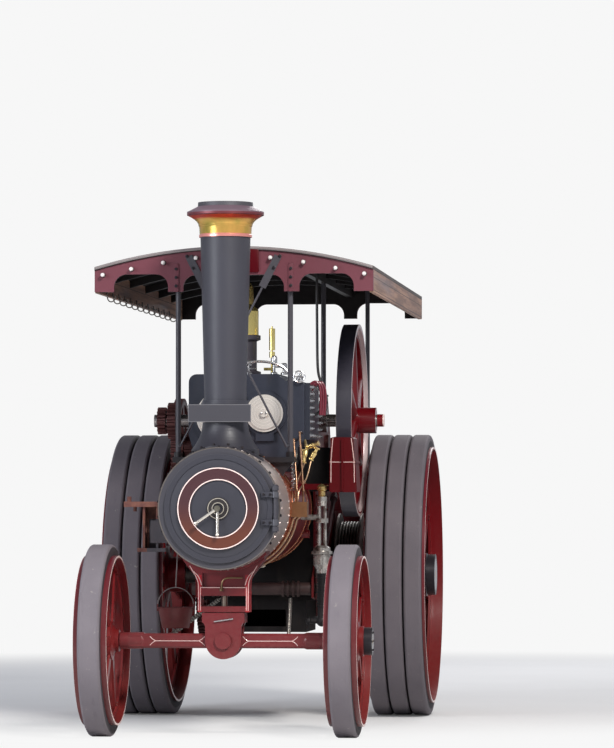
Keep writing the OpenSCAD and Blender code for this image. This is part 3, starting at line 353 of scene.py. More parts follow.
# %% [markdown]
# ### Front of the engine
# The smokebox, door and chimney are a satin dark grey that greys off with
# heat. The wrapper behind the door is smoother and catches the light; its
# pale beige is a painted highlight, the colour of its lit edge laid over the
# whole wrapper. The two door handles are bright steel and the ring plate is a
# blank brown band between two ivory lines.

# %% Smokebox, door and ring
fin = Paint("smokebox_grey", "smokebox")
# painted highlight: the wrapper's pale beige stands for the light on its lit edge
wrap_highlight = (fin.from_boiler() > 0.4035) * (fin.aft > -0.312)
smokebox_mat = fin.layered(fin.worn((62, 61, 68), 0.42, 0.2, 0.35), [(wrap_highlight, (186, 172, 166), 0.33, 0.75)],
                           coat=0.1, skin=(45, 0.3, 0.0008))

fin = Paint("door_grey", "smokebox_door")
r, proud = fin.from_boiler(), fin.aft < -0.384
layers = [(r > 0.3585, (84, 84, 90), 0.34, 0.4),  # the rim
          (proud * (r > 0.021), (222, 216, 206), 0.22, 0.85),  # the handles
          (proud * (r < 0.0211), (120, 116, 104), 0.3, 0.8)]  # their boss
fin.layered(fin.worn((54, 54, 62), 0.34, 0.12, 0.35), layers, coat=0.15, skin=(26, 0.25, 0.0012))

fin = Paint("ring_plate", "crest_ring")
r = fin.from_boiler()
low = 1 - fin.z.step(1.3, 1.6)
brown = fin.worn(fin.mix(low, (66, 38, 42), (92, 48, 34)), 0.3, 0.05, 0.4)
layers = [(r.near(0.0034, 0.2665, 0.1905), IVORY, 0.45, 0),
          (r < 0.09, (58, 54, 54), 0.34, 0.5),
          (r.near(0.0022, 0.0665, 0.0385), (214, 206, 190), 0.3, 0.7)]
fin.layered(brown, layers, coat=0.3, skin=(40, 0.2, 0.0006))
print("smokebox, door and ring dressed")

# %% [markdown]
# ### Chimney and plate
# The chimney is darker at its foot, a painted shade, and sooty near the top.
# Its cap is copper gone golden, red below the lip and grey on the upper face.
# The plate at the chimney's foot is blank, with a pale line round its edge.

# %% Chimney, cap and plate
fin = Paint("chimney_grey", "chimney")
col, rg = fin.worn((58, 58, 66), 0.42, 0, 0.3)
# painted shade: the chimney darkens towards its foot, below about 2.2 m
foot = 1 - fin.z.step(1.95, 2.2)
col = fin.mix(foot * 0.75, col, (30, 28, 36))
soot = fin.z.step(3, 3.4) * fin.noise(5, 4)
col = fin.mix(soot * 0.35, col, (0.03, 0.03, 0.032))
shine = fin.noise(3, 3, 0.5, fin.stretch(3, 3, 0.4))
fin.shade(color=col, rough=rg - shine * 0.1, coat=0.12, coat_rough=0.35, skin=(30, 0.25, 0.0008, 4))

fin = Paint("cap_copper", "chimney_cap")
z = fin.z
wavy = z + fin.noise(4) * 0.02
gold = fin.mix(fin.noise(6, 4, 0.6, fin.stretch(1, 1, 0.6)).step(0.35, 0.7),
               (206, 160, 84), (146, 136, 62))
red = fin.mix(fin.noise(9), (150, 28, 22), (180, 62, 34))
layers = [(wavy.step(3.452, 3.468), red, 0.3, 0.4),
          (z.near(0.0135, 3.486), (104, 52, 58), 0.38, 0.35),
          (z > 3.492, (106, 86, 96), 0.45, 0.2),
          (z > 3.5362, (74, 73, 78), 0.5, 0.2),
          (z < 3.352, (226, 150, 140), 0.25, 0.6)]
fin.layered((gold, 0.24), layers, metal=0.55, skin=(50, 0.15, 0.0005))

fin = Paint("plate_black", "number_plate")
col, rg = fin.worn((62, 61, 67), 0.38, 0, 0.3)
border = (abs(fin.x + 0.018) > 0.2055).max(abs(fin.z - 2.1525) > 0.054) * (fin.aft < -0.1365)
fin.shade(color=fin.mix(border * 0.3, col, (150, 148, 150)), rough=rg, coat=0.3, skin=(40, 0.2, 0.0005))
print("chimney, cap and plate dressed")

# %% [markdown]
# ### Boiler, firebox and plates
# The boiler is lagged under deep red sheet, held by polished bands. Near the
# smokebox the sheet and its two bands look coppery where the light catches
# them.

# %% Boiler, firebox and plates
DEEP_RED = (104, 6, 14)
fin = Paint("lagging_red", "boiler")
y = fin.aft
layers = [((y < 0.7) * 0.9, fin.mix(fin.noise(5), (206, 118, 80), (160, 58, 40)), 0.24, 0.6),
          (y.near(0.029, 0.314, 0.738), (60, 20, 18), 0.4, 0.2),
          (y.near(0.021, 0.314, 0.738, 1.562, 1.83), (214, 150, 110), 0.2, 0.9)]
fin.layered(fin.worn(DEEP_RED, 0.28, 0.3, 0.4, 0.25), layers, coat=0.35, coat_rough=0.12,
            skin=(12, 0.25, 0.0012))
red_gloss = plain_paint("red_gloss", DEEP_RED, 0.3, 0.3, 0.3, coat=0.5)
dress("firebox", plain_paint("firebox_black", (12, 10, 12), 0.5, 0.05, 0.4, coat=0, spec=0.15))
dress("hornplates", plain_paint("plate_red", (84, 4, 12), 0.34, 0.12, 0.4, coat=0.05, spec=0.15))
print("boiler and plates dressed")

# %% [markdown]
# ### Tender, boxes and the bracket in front
# The tender is a browner red with two ivory panels on each side and on its
# back. A rectangle is painted where a point is near one of its four lines
# and between the other two.


# %% Tender, bucket, boxes, bracket and front axle
def panel_line(a, b, across, up, width):
    """The four painted lines of a rectangle on the coordinates a and b."""
    in_a = (a > across[0] - width) * (a < across[1] + width)
    in_b = (b > up[0] - width) * (b < up[1] + width)
    return (a.near(width, *across) * in_b).max(b.near(width, *up) * in_a)


OXBLOOD = (86, 16, 26)
fin = Paint("tender_red", "tender")
col, rg = fin.worn(OXBLOOD, 0.3, 0.35, 0.25, 0.2)
for up in ((0.865, 1.13), (1.265, 1.755)):
    on_side = panel_line(fin.aft, fin.z, (3.83, 4.5), up, 0.0024) * (abs(fin.x) > 0.6035)
    on_back = panel_line(fin.x, fin.z, (-0.49, 0.49), up, 0.0024) * (fin.aft > 4.5995)
    col = fin.mix(on_side.max(on_back), col, IVORY)
fin.shade(color=col, rough=rg, coat=0.22, coat_rough=0.2, skin=(60, 0.35, 0.0006, 2))
dress("tank_lid", plain_paint("lid_red", OXBLOOD, 0.3, 0.2, 0.2, coat=0.2))
dress("tool_box", plain_paint("box_red", (80, 1, 8), 0.34, 0.05, 0.4, coat=0.04, spec=0.15))

fin = Paint("bucket_red", "bucket")
fin.layered(fin.worn((104, 28, 38), 0.42, 0.4, 0.4, 0.4), [(fin.z > 0.879, (128, 120, 120), 0.35, 0.6)],
            coat=0.1, skin=(40, 0.3, 0.0008))

fin = Paint("bracket_red", "perch_bracket")
# painted highlight: the cheeks are a brighter, lit copy of the bracket's red
lit_cheek = (abs(fin.x) > 0.1465) * (fin.z < 1.08) * (fin.aft < 0.08)
col, rg = fin.worn(fin.mix(lit_cheek, (98, 11, 22), (150, 8, 26)), 0.3, 0.16, 0.4, 0.15)
fin.shade(color=col, rough=rg, coat=0.22, skin=(50, 0.3, 0.0008))

fin = Paint("axle_red", "front_axle")
pin = (distance(fin.x, fin.aft) < 0.021) * (fin.z > 0.8275)
layers = [(abs(fin.x) > 0.7005, (60, 56, 56), 0.4, 0.6), (pin, (130, 116, 104), 0.35, 0.8)]
fin.layered(fin.worn((104, 12, 26), 0.3, 0.18, 0.4, 0.15), layers, coat=0.2, skin=(50, 0.3, 0.0008))
print("tender, boxes and front axle dressed")

# %% [markdown]
# ### Wheels
# The spokes and rims are deep red, the two edges of each rim carry an ivory
# line, and a dark cap with a bright end closes the hub. The rim, cap and
# line are rings, so each is a span of distances from the axle.


# %% Rims
def wheel_finish(name, axle, rim_r, half, centre, cap_r, cap_from, hub_r, sign):
    """Red spokes and hub, a rim whose edges carry an ivory line, a dark hub cap with a bright end."""
    fin = Paint(name)
    r, out = fin.from_axle(axle), fin.x * sign
    rim_col, _ = fin.worn((104, 22, 34), 0.3, 0.2, 0.35)
    layers = [(r > rim_r - 0.0005, rim_col, 0.34, 0),
              ((r > rim_r - 0.0135) * (abs(out - centre) > half - 0.0006), IVORY, 0.4, 0),
              ((out > cap_from) * (r < hub_r), (44, 42, 46), 0.36, 0.4),
              ((out > cap_from + 0.034) * (r < cap_r * 0.78), (196, 190, 184), 0.25, 0.9),
              ((out > cap_from) * (r < cap_r * 0.2), (190, 150, 70), 0.3, 0.9)]
    return fin.layered(fin.worn((112, 4, 14), 0.3, 0.12, 0.35, 0.12), layers, coat=0.22,
                       skin=(60, 0.3, 0.0006))


for side, sign in (("left", 1), ("right", -1)):
    for end, axle, sizes in (("front", FRONT_AXLE, (0.565, 0.11, 0.823, 0.093, 0.935, 0.12)),
                             ("rear", REAR_AXLE, (0.94, 0.2225, 0.945, 0.15, 1.11, 0.16))):
        dress(end + "_rim_" + side, wheel_finish(end + "_wheel_red_" + side, axle, *sizes, sign))
print("rims dressed")

# %% [markdown]
# ### Tyres
# Solid rubber tyres go grey and dusty on the tread and stay black in the
# corner beside the rim. The front pair is the paler one. Small bright specks
# are the nicks, and wide soft patches the scuffs.

# %% Tyres
fin = Paint("tyre_rubber", "front_tyre_left", "front_tyre_right", "rear_tyre_left", "rear_tyre_right")
fine = fin.noise(70, 4, 0.6)
big = fin.noise(3.5, 4)
ahead = 1 - fin.aft.step(0.9, 1.5)
col = fin.mix(ahead, fin.mix(big, (88, 83, 89), (110, 103, 108)),
              fin.mix(big, (98, 93, 99), (124, 117, 122)))
nicks = fin.noise(24, 6, 0.7).step(0.64, 0.7)
col = fin.mix(nicks * 0.45, col, (160, 152, 146))
scuff = fin.noise(11, 4, 0.6, fin.stretch(3, 0.6, 0.6)).step(0.58, 0.8)
col = fin.mix(scuff * 0.35, col, (76, 71, 77))
near_front = fin.aft < 1.2
front_r, rear_r = fin.from_axle(FRONT_AXLE), fin.from_axle(REAR_AXLE)
deep = near_front * (front_r < 0.622) + (1 - near_front) * (rear_r < 0.985)
col = fin.mix(deep * 0.8, col, (32, 30, 34))
fin.shade(color=col, rough=0.82 - fine * 0.12, normal=fin.bump(fine, 0.5, 0.002))
print("tyres dressed")

# %% [markdown]
# ### Flywheel
# The rim is nearly black with a bright edge, and inside it the wheel is deep
# red with a thin pale line and an ivory ring on the boss. Each colour is a
# span of distances from the shaft, as on the wheels.

# %% Flywheel
fin = Paint("flywheel_paint", "flywheel")
r, x = fin.from_axle(CRANK), fin.x
faces = (x > 0.7055).max(x < 0.5985)
layers = [(r < 0.655, (90, 2, 10), 0.3, 0),
          ((r > 0.667) * faces, (206, 184, 180), 0.3, 0.1),
          (r.near(0.002, 0.6545), (214, 196, 196), 0.25, 0.3),
          ((r > 0.652) * (r < 0.667) * faces, (120, 20, 26), 0.3, 0),
          ((x > 0.8145) * (r > 0.072) * (r < 0.082), IVORY, 0.4, 0)]
fin.layered(fin.worn((52, 50, 60), 0.3, 0, 0.3), layers, coat=0.5, coat_rough=0.15,
            skin=(40, 0.2, 0.0006))
print("flywheel dressed")

# %% [markdown]
# ### Bare metal and black iron
# Rods and shafts are polished steel, the drum and rear axle duller steel, and
# the fittings brass and copper gone brown in spots. One helper makes them
# all, from a colour, a roughness and a tarnish.

# %% Plain metals and paints
steel = metal("polished_steel", (190, 190, 192), 0.2, (90, 84, 78))
dull = metal("dull_steel", (112, 106, 102), 0.42, (60, 44, 36), spots=0.5)
brass = metal("brass_polish", (216, 190, 128), 0.18, (140, 104, 60), spots=0.4)
old_brass = metal("old_brass", (112, 92, 70), 0.34, (66, 50, 42), spots=0.6)
copper = metal("copper_polish", (184, 152, 122), 0.24, (92, 60, 46), spots=0.6)
black = plain_paint("iron_black", (34, 33, 36), 0.45, 0.15, 0.2, coat=0.15)
dress("cylinder_block", plain_paint("cylinder_blue", (42, 45, 56), 0.32, 0, 0.25, coat=0.2))
dress("ashpan", plain_paint("ashpan_black", (12, 10, 13), 0.5, 0.05, 0.4, coat=0, spec=0.15))
for node, mat in (("motion", steel), ("winding_drum", dull), ("rear_axle", dull), ("backhead", brass),
                  ("firehole_door", black)):
    dress(node, mat)
print("metals laid on")

# %% [markdown]
# ### Fittings of two finishes
# Some solids join parts of two materials: a hose under a brass pump, a
# painted column under a bright hand wheel, a dark seat under a brass valve.
# The height of a point tells which of the two it is.

# %% Steering, pump, lubricator and valve
fin = Paint("steering_paint", "steering_gear")
fin.layered(fin.worn((40, 20, 24), 0.36, 0.3, 0.35, 0.3), [(fin.z > 1.75, (176, 172, 168), 0.25, 0.9)],
            skin=(50, 0.3, 0.0008))
fin = Paint("pump_finish", "feed_pump")
n = fin.noise(14, 5, 0.6)
base = (fin.mix(n.step(0.4, 0.7), (186, 182, 176), (70, 60, 54)), n * 0.3 + 0.14)
layers = [(fin.z < 1.071, (24, 22, 24), 0.62, 0),
          (fin.z > 1.603, fin.mix(n, (236, 214, 150), (170, 130, 70)), 0.2, 0.9)]
fin.layered(base, layers, metal=0.85, normal=fin.bump(n, 0.3, 0.0012))
fin = Paint("oil_box_finish", "pipes")
n = fin.noise(12, 5, 0.6)
tubes = fin.mix((fin.z > 1.6) * 0.7, fin.mix(n, (190, 150, 118), (124, 86, 62)), (96, 74, 60))
layers = [(fin.z < 1.5645, fin.mix(n, (158, 118, 84), (104, 70, 48)), 0.34, 0.75)]
fin.layered((tubes, 0.3), layers, metal=0.9, normal=fin.bump(n, 0.2, 0.001))
fin = Paint("valve_brass", "safety_valve")
n = fin.noise(5)
seat = (fin.z < 2.7125) * (fin.x < 0.14)
layers = [(seat, fin.mix(n, (36, 34, 40), (86, 82, 90)), 0.4, 0.3)]
fin.layered((fin.mix(n, (244, 230, 160), (226, 198, 110)), 0.22), layers, metal=0.85,
            skin=(50, 0.1, 0.0004))
print("fittings dressed")

# %% [markdown]
# ### Turned, greasy and rusty metal
# The two cylinder covers were faced on a lathe, so a noise along the distance
# from their centres gives fine rings. Gears are oily brown iron, and the
# plate beside the engine is rusty.

# %% Covers, shaft, gears and side bracket
COVERS = ((0.181, 2.17), (-0.112, 2.15))  # (x, z) of the centres
fin = Paint("cover_steel", "cylinder_covers")
low, high = (distance(fin.x - x, fin.z - z) for x, z in COVERS)
turned = fin.node("TexNoise", {"noise_dimensions": "1D"}, {"W": low.min(high) * 420, "Scale": 1})[0]
fin.shade(color=fin.mix(turned, (232, 226, 218), (216, 209, 200)), metal=0.5, rough=turned * 0.12 + 0.2,
          normal=fin.bump(turned, 0.1, 0.0003))
fin = Paint("shaft_steel", "crankshaft")
layers = [(fin.x > 0.832, DEEP_RED, 0.3, 0), (fin.x > 0.872, IVORY, 0.4, 0)]
fin.layered((fin.mix(fin.noise(9), (176, 172, 170), (110, 100, 96)), 0.25), layers, metal=0.9)
fin = Paint("gear_iron", "gearing")
n = fin.noise(14, 4)
fin.shade(color=fin.mix(n, (104, 62, 60), (58, 42, 42)), rough=n * 0.3 + 0.28, metal=0.5,
          skin=(60, 0.3, 0.001))
fin = Paint("rusty_plate", "side_bracket")
n = fin.noise(16, 6, 0.7)
rust = fin.mix(n.step(0.35, 0.7), (84, 50, 46), (116, 74, 60))
dark = (fin.z < 1.45) * (fin.x > -0.53)
fin.shade(color=fin.mix(dark * 0.9, rust, (58, 60, 66)), rough=0.75 - n * 0.2,
          normal=fin.bump(n, 0.5, 0.002))
print("covers, gears and bracket dressed")

# %% [markdown]
# ### Canopy
# The fascia is maroon. Behind it the long side boards are light tan with a
# grain along the engine and grey-blue patches; the tan and grey-blue are a
# painted reflection of light glancing off the boards. Everything under the
# roof, the ceiling boards and the rear fascia's inner face are painted nearly
# black, a painted shade as seen from the bright yard. The roof cloth is a
# dusty grey above boards, and the bulbs are pale glass, barely lit.

# %% Canopy, posts, roof and bulb glass
fin = Paint("canopy_maroon", "canopy_frame")
y, grain = fin.aft, fin.noise(9, 6, 0.65, fin.stretch(1, 0.12, 2.4))
# painted reflection: the light tan and grey-blue of the side boards stand for light glancing off them; the
# grain and joints are their own
board_grain_and_sheen = fin.mix(grain.step(0.35, 0.65), (166, 128, 106), (118, 88, 74))
grey = fin.noise(2, 3, 0.5, fin.stretch(1, 0.3, 3)).step(0.5, 0.75)
board_grain_and_sheen = fin.mix(grey * 0.5, board_grain_and_sheen, (98, 98, 110))
joints = (fin.z * 11.5).mod(1).near(0.03, 0.5)
board_grain_and_sheen = fin.mix(joints * 0.8, board_grain_and_sheen, (50, 38, 36))
board = (abs(fin.x) > 0.9235) * (y > 0.5102) * (y < 4.7999)
# painted shade: under the roof, and on the rear fascia's inner face, everything is near black
under = (y > 0.5105) * (y < 4.801) * (1 - board)
layers = [(board, board_grain_and_sheen, 0.7, 0), (under, (18, 12, 13), 0.6, 0)]
fin.layered(fin.worn((100, 50, 60), 0.42, 0, 0.35, 0.1), layers, coat=0.1,
            normal=fin.bump(grain, 0.3, 0.0015))
fin = Paint("post_grey", "canopy_posts")
col, rg = fin.worn((64, 62, 68), 0.4, 0.1, 0.2)
# painted shade: below 1.905 m the posts are near black, where they run down beside the boiler
fin.shade(color=fin.mix(fin.z < 1.905, col, (26, 24, 28)), rough=rg, coat=0.15)

ROOF_TOP, HALF, RISE = 3.3, 0.952, 0.138
ROOF_R = (HALF ** 2 + RISE ** 2) / (2 * RISE)  # the arc over half the width and the rise
fin = Paint("roof_cloth", "canopy_roof")
weave = fin.noise(120, 2)
cloth = fin.mix(fin.noise(2.5, 5, 0.6), (90, 82, 81), (72, 65, 64))
# painted shade: the boards inside the roof are near black, with darker joints
shaded_planks = fin.mix(fin.noise(6, 4, 0.6, fin.stretch(2, 0.1, 2)), (18, 15, 15), (11, 9, 9))
shaded_ceiling = fin.mix((fin.x * 8).mod(1).near(0.04, 0.5), shaded_planks, (6, 5, 5))
inside = distance(fin.x, fin.z - (ROOF_TOP - ROOF_R)) < ROOF_R - 0.02
fin.shade(color=fin.mix(inside, cloth, shaded_ceiling), rough=0.8 - weave * 0.1,
          normal=fin.bump(weave, 0.3, 0.001))
fin = Paint("bulb_glass", "lamps")
fin.shade(color=fin.mix(fin.noise(30), (0.66, 0.62, 0.6), (0.8, 0.76, 0.74)), rough=0.12, coat=0.6,
          emit=(1, 0.97, 0.9, 1), emit_power=0.02)
print("finishes laid on", len(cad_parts), "nodes")

# %% [markdown]
# ## How the fine pieces are made
# Bolts, rivets, hooks and links repeat many times, so each is modelled once
# and copied to its places. A start shape is added at its size, some of its
# faces are picked by place or direction, and they are inset, extruded or
# bevelled as one would by hand. Pipes and rods are a path with a round
# section, turned into a mesh. The y of every place is measured behind the
# front axle, like the solids.


# %% Picking and finishing
def clear():
    """Leaves edit mode and lets go of everything."""
    if bpy.context.object and bpy.context.object.mode != "OBJECT":
        bpy.ops.object.mode_set(mode="OBJECT")
    bpy.ops.object.select_all(action="DESELECT")


def start(name, kind, **size):
    """Adds a start shape; its place and turn go straight into its mesh."""
    clear()
    getattr(bpy.ops.mesh, "primitive_" + kind + "_add")(**size)
    obj = bpy.context.object
    bpy.ops.object.transform_apply()
    obj.name = obj.data.name = name
    return obj


def pick(obj, test, kind="FACE"):
    """Edit mode with the faces, edges or corners picked by centre and direction."""
    if obj.mode != "EDIT":
        bpy.ops.object.mode_set(mode="EDIT")
    bpy.ops.mesh.select_mode(type=kind)
    bpy.ops.mesh.select_all(action="DESELECT")
    bm = bmesh.from_edit_mesh(obj.data)
    if kind == "FACE":
        for face in bm.faces:
            face.select_set(bool(test(face.calc_center_median(), face.normal)))
    elif kind == "EDGE":
        for edge in bm.edges:
            a, b = edge.verts[0].co, edge.verts[1].co
            edge.select_set(bool(test((a + b) / 2, (b - a).normalized())))
    else:
        for vert in bm.verts:
            vert.select_set(bool(test(vert.co, vert.normal)))
    bm.select_flush_mode()
    bmesh.update_edit_mesh(obj.data)


def finish(obj, mat, body="chassis"):
    """Smooths the finished piece, gives it its finish and the body it moves with, if it keeps to one."""
    clear()
    obj.select_set(True)
    bpy.context.view_layer.objects.active = obj
    bpy.ops.object.shade_smooth_by_angle(angle=radians(35))
    obj.data.materials.clear()
    obj.data.materials.append(mat)
    if body:
        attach(obj, body)
    return obj


def finish_of(node):
    """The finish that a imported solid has."""
    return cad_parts[node].material_slots[0].material


# %% Copying and joining
def stamp(master, matrices, name):
    """Copies the master to each matrix and joins the copies."""
    clear()
    copies = []
    for matrix in matrices:
        twin = bpy.data.objects.new(name, master.data.copy())
        bpy.context.scene.collection.objects.link(twin)
        twin.matrix_world = matrix
        twin.select_set(True)
        copies.append(twin)
    bpy.context.view_layer.objects.active = copies[0]
    bpy.ops.object.join()
    bpy.ops.object.transform_apply()
    joined = bpy.context.object
    joined.name = joined.data.name = name
    bpy.data.objects.remove(master)
    return joined


def repeat(master, places, name):
    """Copies the master, which points along +Z, to each (place, direction)."""
    return stamp(master, [Matrix.Translation((x, at(y), z)) @
                          Vector(toward).to_track_quat("Z", "Y").to_matrix().to_4x4()
                          for (x, y, z), toward in places], name)


def merge(pieces, name):
    """Joins finished shapes into one piece."""
    clear()
    for piece in pieces:
        piece.select_set(True)
    bpy.context.view_layer.objects.active = pieces[0]
    bpy.ops.object.join()
    pieces[0].name = pieces[0].data.name = name
    return pieces[0]


# %% Bolt, rivet, rod and turned shape
def bolt(size, height):
    """A hexagon head on a washer, with a rounded end."""
    obj = start("bolt", "cylinder", vertices=6, radius=size, depth=height * 0.6,
                location=(0, 0, height * 0.4))
    pick(obj, lambda c, n: n.z > 0.9)
    bpy.ops.mesh.inset(thickness=size * 0.35)
    bpy.ops.mesh.extrude_region_move(TRANSFORM_OT_translate={"value": (0, 0, height * 0.3)})
    pick(obj, lambda c, n: n.z < -0.9)
    bpy.ops.mesh.inset(thickness=size * 0.05)
    bpy.ops.mesh.extrude_region_move(TRANSFORM_OT_translate={"value": (0, 0, -height * 0.1)})
    bpy.ops.transform.resize(value=(1.35, 1.35, 1))
    clear()
    return obj


def rivet(size):
    """A low dome: a short drum whose top is inset and raised."""
    obj = start("rivet", "cylinder", vertices=8, radius=size, depth=size * 0.5, location=(0, 0, size * 0.1))
    pick(obj, lambda c, n: n.z > 0.9)
    bpy.ops.mesh.inset(thickness=size * 0.45)
    bpy.ops.transform.translate(value=(0, 0, size * 0.28))
    clear()
    return obj


def tube(name, points, radius, sides=8, smooth=True):
    """A round rod along a path."""
    clear()
    bpy.ops.curve.primitive_nurbs_path_add()
    obj = bpy.context.object
    curve = obj.data
    curve.splines.clear()
    line = curve.splines.new("NURBS" if smooth else "POLY")
    line.points.add(len(points) - 1)
    for spot, (x, y, z) in zip(line.points, points):
        spot.co = (x, at(y), z, 1)
    if smooth:
        line.use_endpoint_u = True
        line.order_u = 3
    curve.dimensions = "3D"
    curve.resolution_u = 4
    curve.bevel_depth = radius
    curve.bevel_resolution = sides // 4 - 1
    curve.use_fill_caps = True
    obj.location = (0, 0, 0)
    bpy.ops.object.convert(target="MESH")
    obj = bpy.context.object
    obj.name = obj.data.name = name
    return obj


def lathe(name, profile, place=None, toward=(0, 0, 1), steps=16):
    """Spins a profile of (radius, height) round an axis: an edge is extruded point by point, then spun."""
    clear()
    bpy.ops.mesh.primitive_plane_add(size=1)
    obj = bpy.context.object
    bpy.ops.object.mode_set(mode="EDIT")
    bpy.ops.mesh.select_mode(type="VERT")
    bpy.ops.mesh.select_all(action="SELECT")
    bpy.ops.mesh.merge(type="CENTER")
    bpy.ops.transform.translate(value=(profile[0][0], 0, profile[0][1]))
    for (r0, z0), (r1, z1) in zip(profile, profile[1:]):
        bpy.ops.mesh.extrude_vertices_move(TRANSFORM_OT_translate={"value": (r1 - r0, 0, z1 - z0)})
    bpy.ops.mesh.select_all(action="SELECT")
    bpy.ops.mesh.spin(steps=steps, angle=tau, center=(0, 0, 0), axis=(0, 0, 1))
    bpy.ops.mesh.select_all(action="SELECT")
    bpy.ops.mesh.remove_doubles(threshold=0.0002)
    bpy.ops.mesh.normals_make_consistent(inside=False)
    clear()
    obj.select_set(True)
    if place:
        obj.location = (place[0], at(place[1]), place[2])
    obj.rotation_euler = Vector(toward).to_track_quat("Z", "Y").to_euler()
    bpy.ops.object.transform_apply()
    obj.name = obj.data.name = name
    return obj


# %% [markdown]
# ## Bolts and rivets at the front
# The wrapper's front edge carries two dozen dark bolts, two rows of rivets
# hold its ring and its back end, the chimney's foot is bolted down, and the
# door's two straps have a pair of bolts each.


# %% Smokebox bolts and rivets
def angles(n, first=0):
    """n angles round a circle."""
    return [first + tau * i / n for i in range(n)]


def ring_of(n, radius, y, first=0):
    """Places round the boiler's line, with the direction away from it."""
    return [((radius * cos(a), y, BOILER_Z + radius * sin(a)), (cos(a), 0, sin(a)))
            for a in angles(n, first)]


FOOT_R, TOP_R = 0.241, 0.419  # circle of the chimney's bolts, and the saddle they stand on
dark_bolt = metal("dark_bolt", (52, 50, 54), 0.4, (90, 80, 76), spots=0.4)
places = [(p, d) for p, d in ring_of(26, 0.4048, -0.288, radians(7.5)) if p[2] >= 1.25 or abs(p[0]) >= 0.31]
finish(repeat(bolt(0.0095, 0.012), places, "smokebox_ring_bolts"), dark_bolt)
places = ring_of(52, 0.4048, -0.215) + ring_of(52, 0.4048, 0.262)
finish(repeat(rivet(0.0085), places, "smokebox_rivets"), smokebox_mat)
places = []
for a in angles(16, pi / 16):
    x = FOOT_R * cos(a)
    up = sqrt(TOP_R ** 2 - x * x)
    places.append(((x, 0.035 + FOOT_R * sin(a), BOILER_Z + up), (x / TOP_R, 0, up / TOP_R)))
finish(repeat(bolt(0.0095, 0.016), places, "chimney_foot_bolts"), dark_bolt)
places = [((x, -0.3595, BOILER_Z + dz), (0, -1, 0)) for dz in (-0.092, 0.092) for x in (0.3, 0.345)]
finish(repeat(bolt(0.009, 0.013), places, "door_strap_bolts"), dark_bolt, "smokebox_door")
print("front bolts and rivets placed")

# %% [markdown]
# ## Bright rim of the door
# A thin bright bead runs round the edge of the smokebox front. A bead that is
# spun from a small profile catches the light as the turned edge does.

# %% Rim bead
profile = [(0.398, 0), (0.4045, -0.001), (0.4075, 0.004), (0.4045, 0.009), (0.398, 0.008), (0.398, 0)]
finish(lathe("smokebox_rim_bead", profile, (0, -0.3205, BOILER_Z), (0, 1, 0), 72), dull)
print("rim bead made")

# %% [markdown]
# ## Lining on the perch bracket and the beam
# The bracket's cheeks carry a pointed ivory outline and its upper bar one
# ivory line; the beam has a line along its middle that forks at each end.
# Painted lines this narrow are made as thin rods sunk into the paint.

# %% Ivory lines
PERCH_Y, BEAM_Y, BEAM_Z = -0.0694, -0.0494, 0.64
fin = Paint("ivory_line")
n = fin.noise(30)
ivory_mat = fin.shade(color=fin.mix(n, IVORY, (196, 150, 146)), rough=n * 0.2 + 0.4, coat=0.2)


def stroke(path, y, radius, s=1, smooth=False):
    """A painted line through (x, z) points on the face at y; s = -1 mirrors it."""
    return tube("line", [(s * x, y, z) for x, z in path], radius, 8, smooth)


perch, beam = [], []
for s in (-1, 1):
    for path in ([(0.226, 1.14), (0.204, 1.104), (0.18, 1.062), (0.1665, 1.022), (0.166, 0.95),
                  (0.166, 0.842)], [(0.146, 1.012), (0.155, 1.048), (0.178, 1.086), (0.204, 1.104)]):
        perch.append(stroke(path, PERCH_Y, 0.0028, s, True))
    perch.append(stroke([(0.1535, 1), (0.1535, 0.842)], PERCH_Y, 0.0026, s))
    beam.append(stroke([(0.168, BEAM_Z), (0.455, BEAM_Z)], BEAM_Y, 0.0028, s))
    for up in (-1, 1):
        for x, d in ((0.168, -1), (0.455, 1)):
            fork = [(x, BEAM_Z), (x + d * 0.022, BEAM_Z + up * 0.008), (x + d * 0.04, BEAM_Z + up * 0.03)]
            beam.append(stroke(fork, BEAM_Y, 0.0026, s, True))
perch.append(stroke([(-0.148, 0.995), (0.148, 0.995)], PERCH_Y, 0.0026))
finish(merge(perch, "perch_lining"), ivory_mat)
finish(merge(beam, "beam_lining"), ivory_mat, "forecarriage")
print("lining made")

# %% [markdown]
# ## Oil pipe and cotter at the perch
# A thin pipe brings oil to the king pin, and a cotter keeps the pin in. A
# pipe is a path through a few points, so its bends come out round.

# %% Perch oil pipe, cup and cotter
path = [(-0.012, -0.078, 0.985), (-0.012, -0.085, 1.02), (0.006, -0.085, 1.055), (0.05, -0.085, 1.062),
        (0.128, -0.085, 1.06)]
finish(tube("perch_oil_pipe", path, 0.006, 12), old_brass)
profile = [(0, 0), (0.013, 0), (0.013, 0.012), (0.009, 0.016), (0.009, 0.03), (0, 0.03)]
finish(lathe("perch_oil_cup", profile, (-0.012, -0.076, 0.972), steps=12), old_brass)
path = [(-0.06, -0.094, 0.77), (0.068, -0.094, 0.789)]
finish(tube("king_pin_cotter", path, 0.0045, 8, False), steel, "forecarriage")
print("perch fittings made")

# %% [markdown]
# ## Steering chains
# The two chains are real oval links, each turned a quarter from the last. A
# ring is added, one half of it is pulled away to make an oval, and the link
# is copied along the line that the plain solid marks.

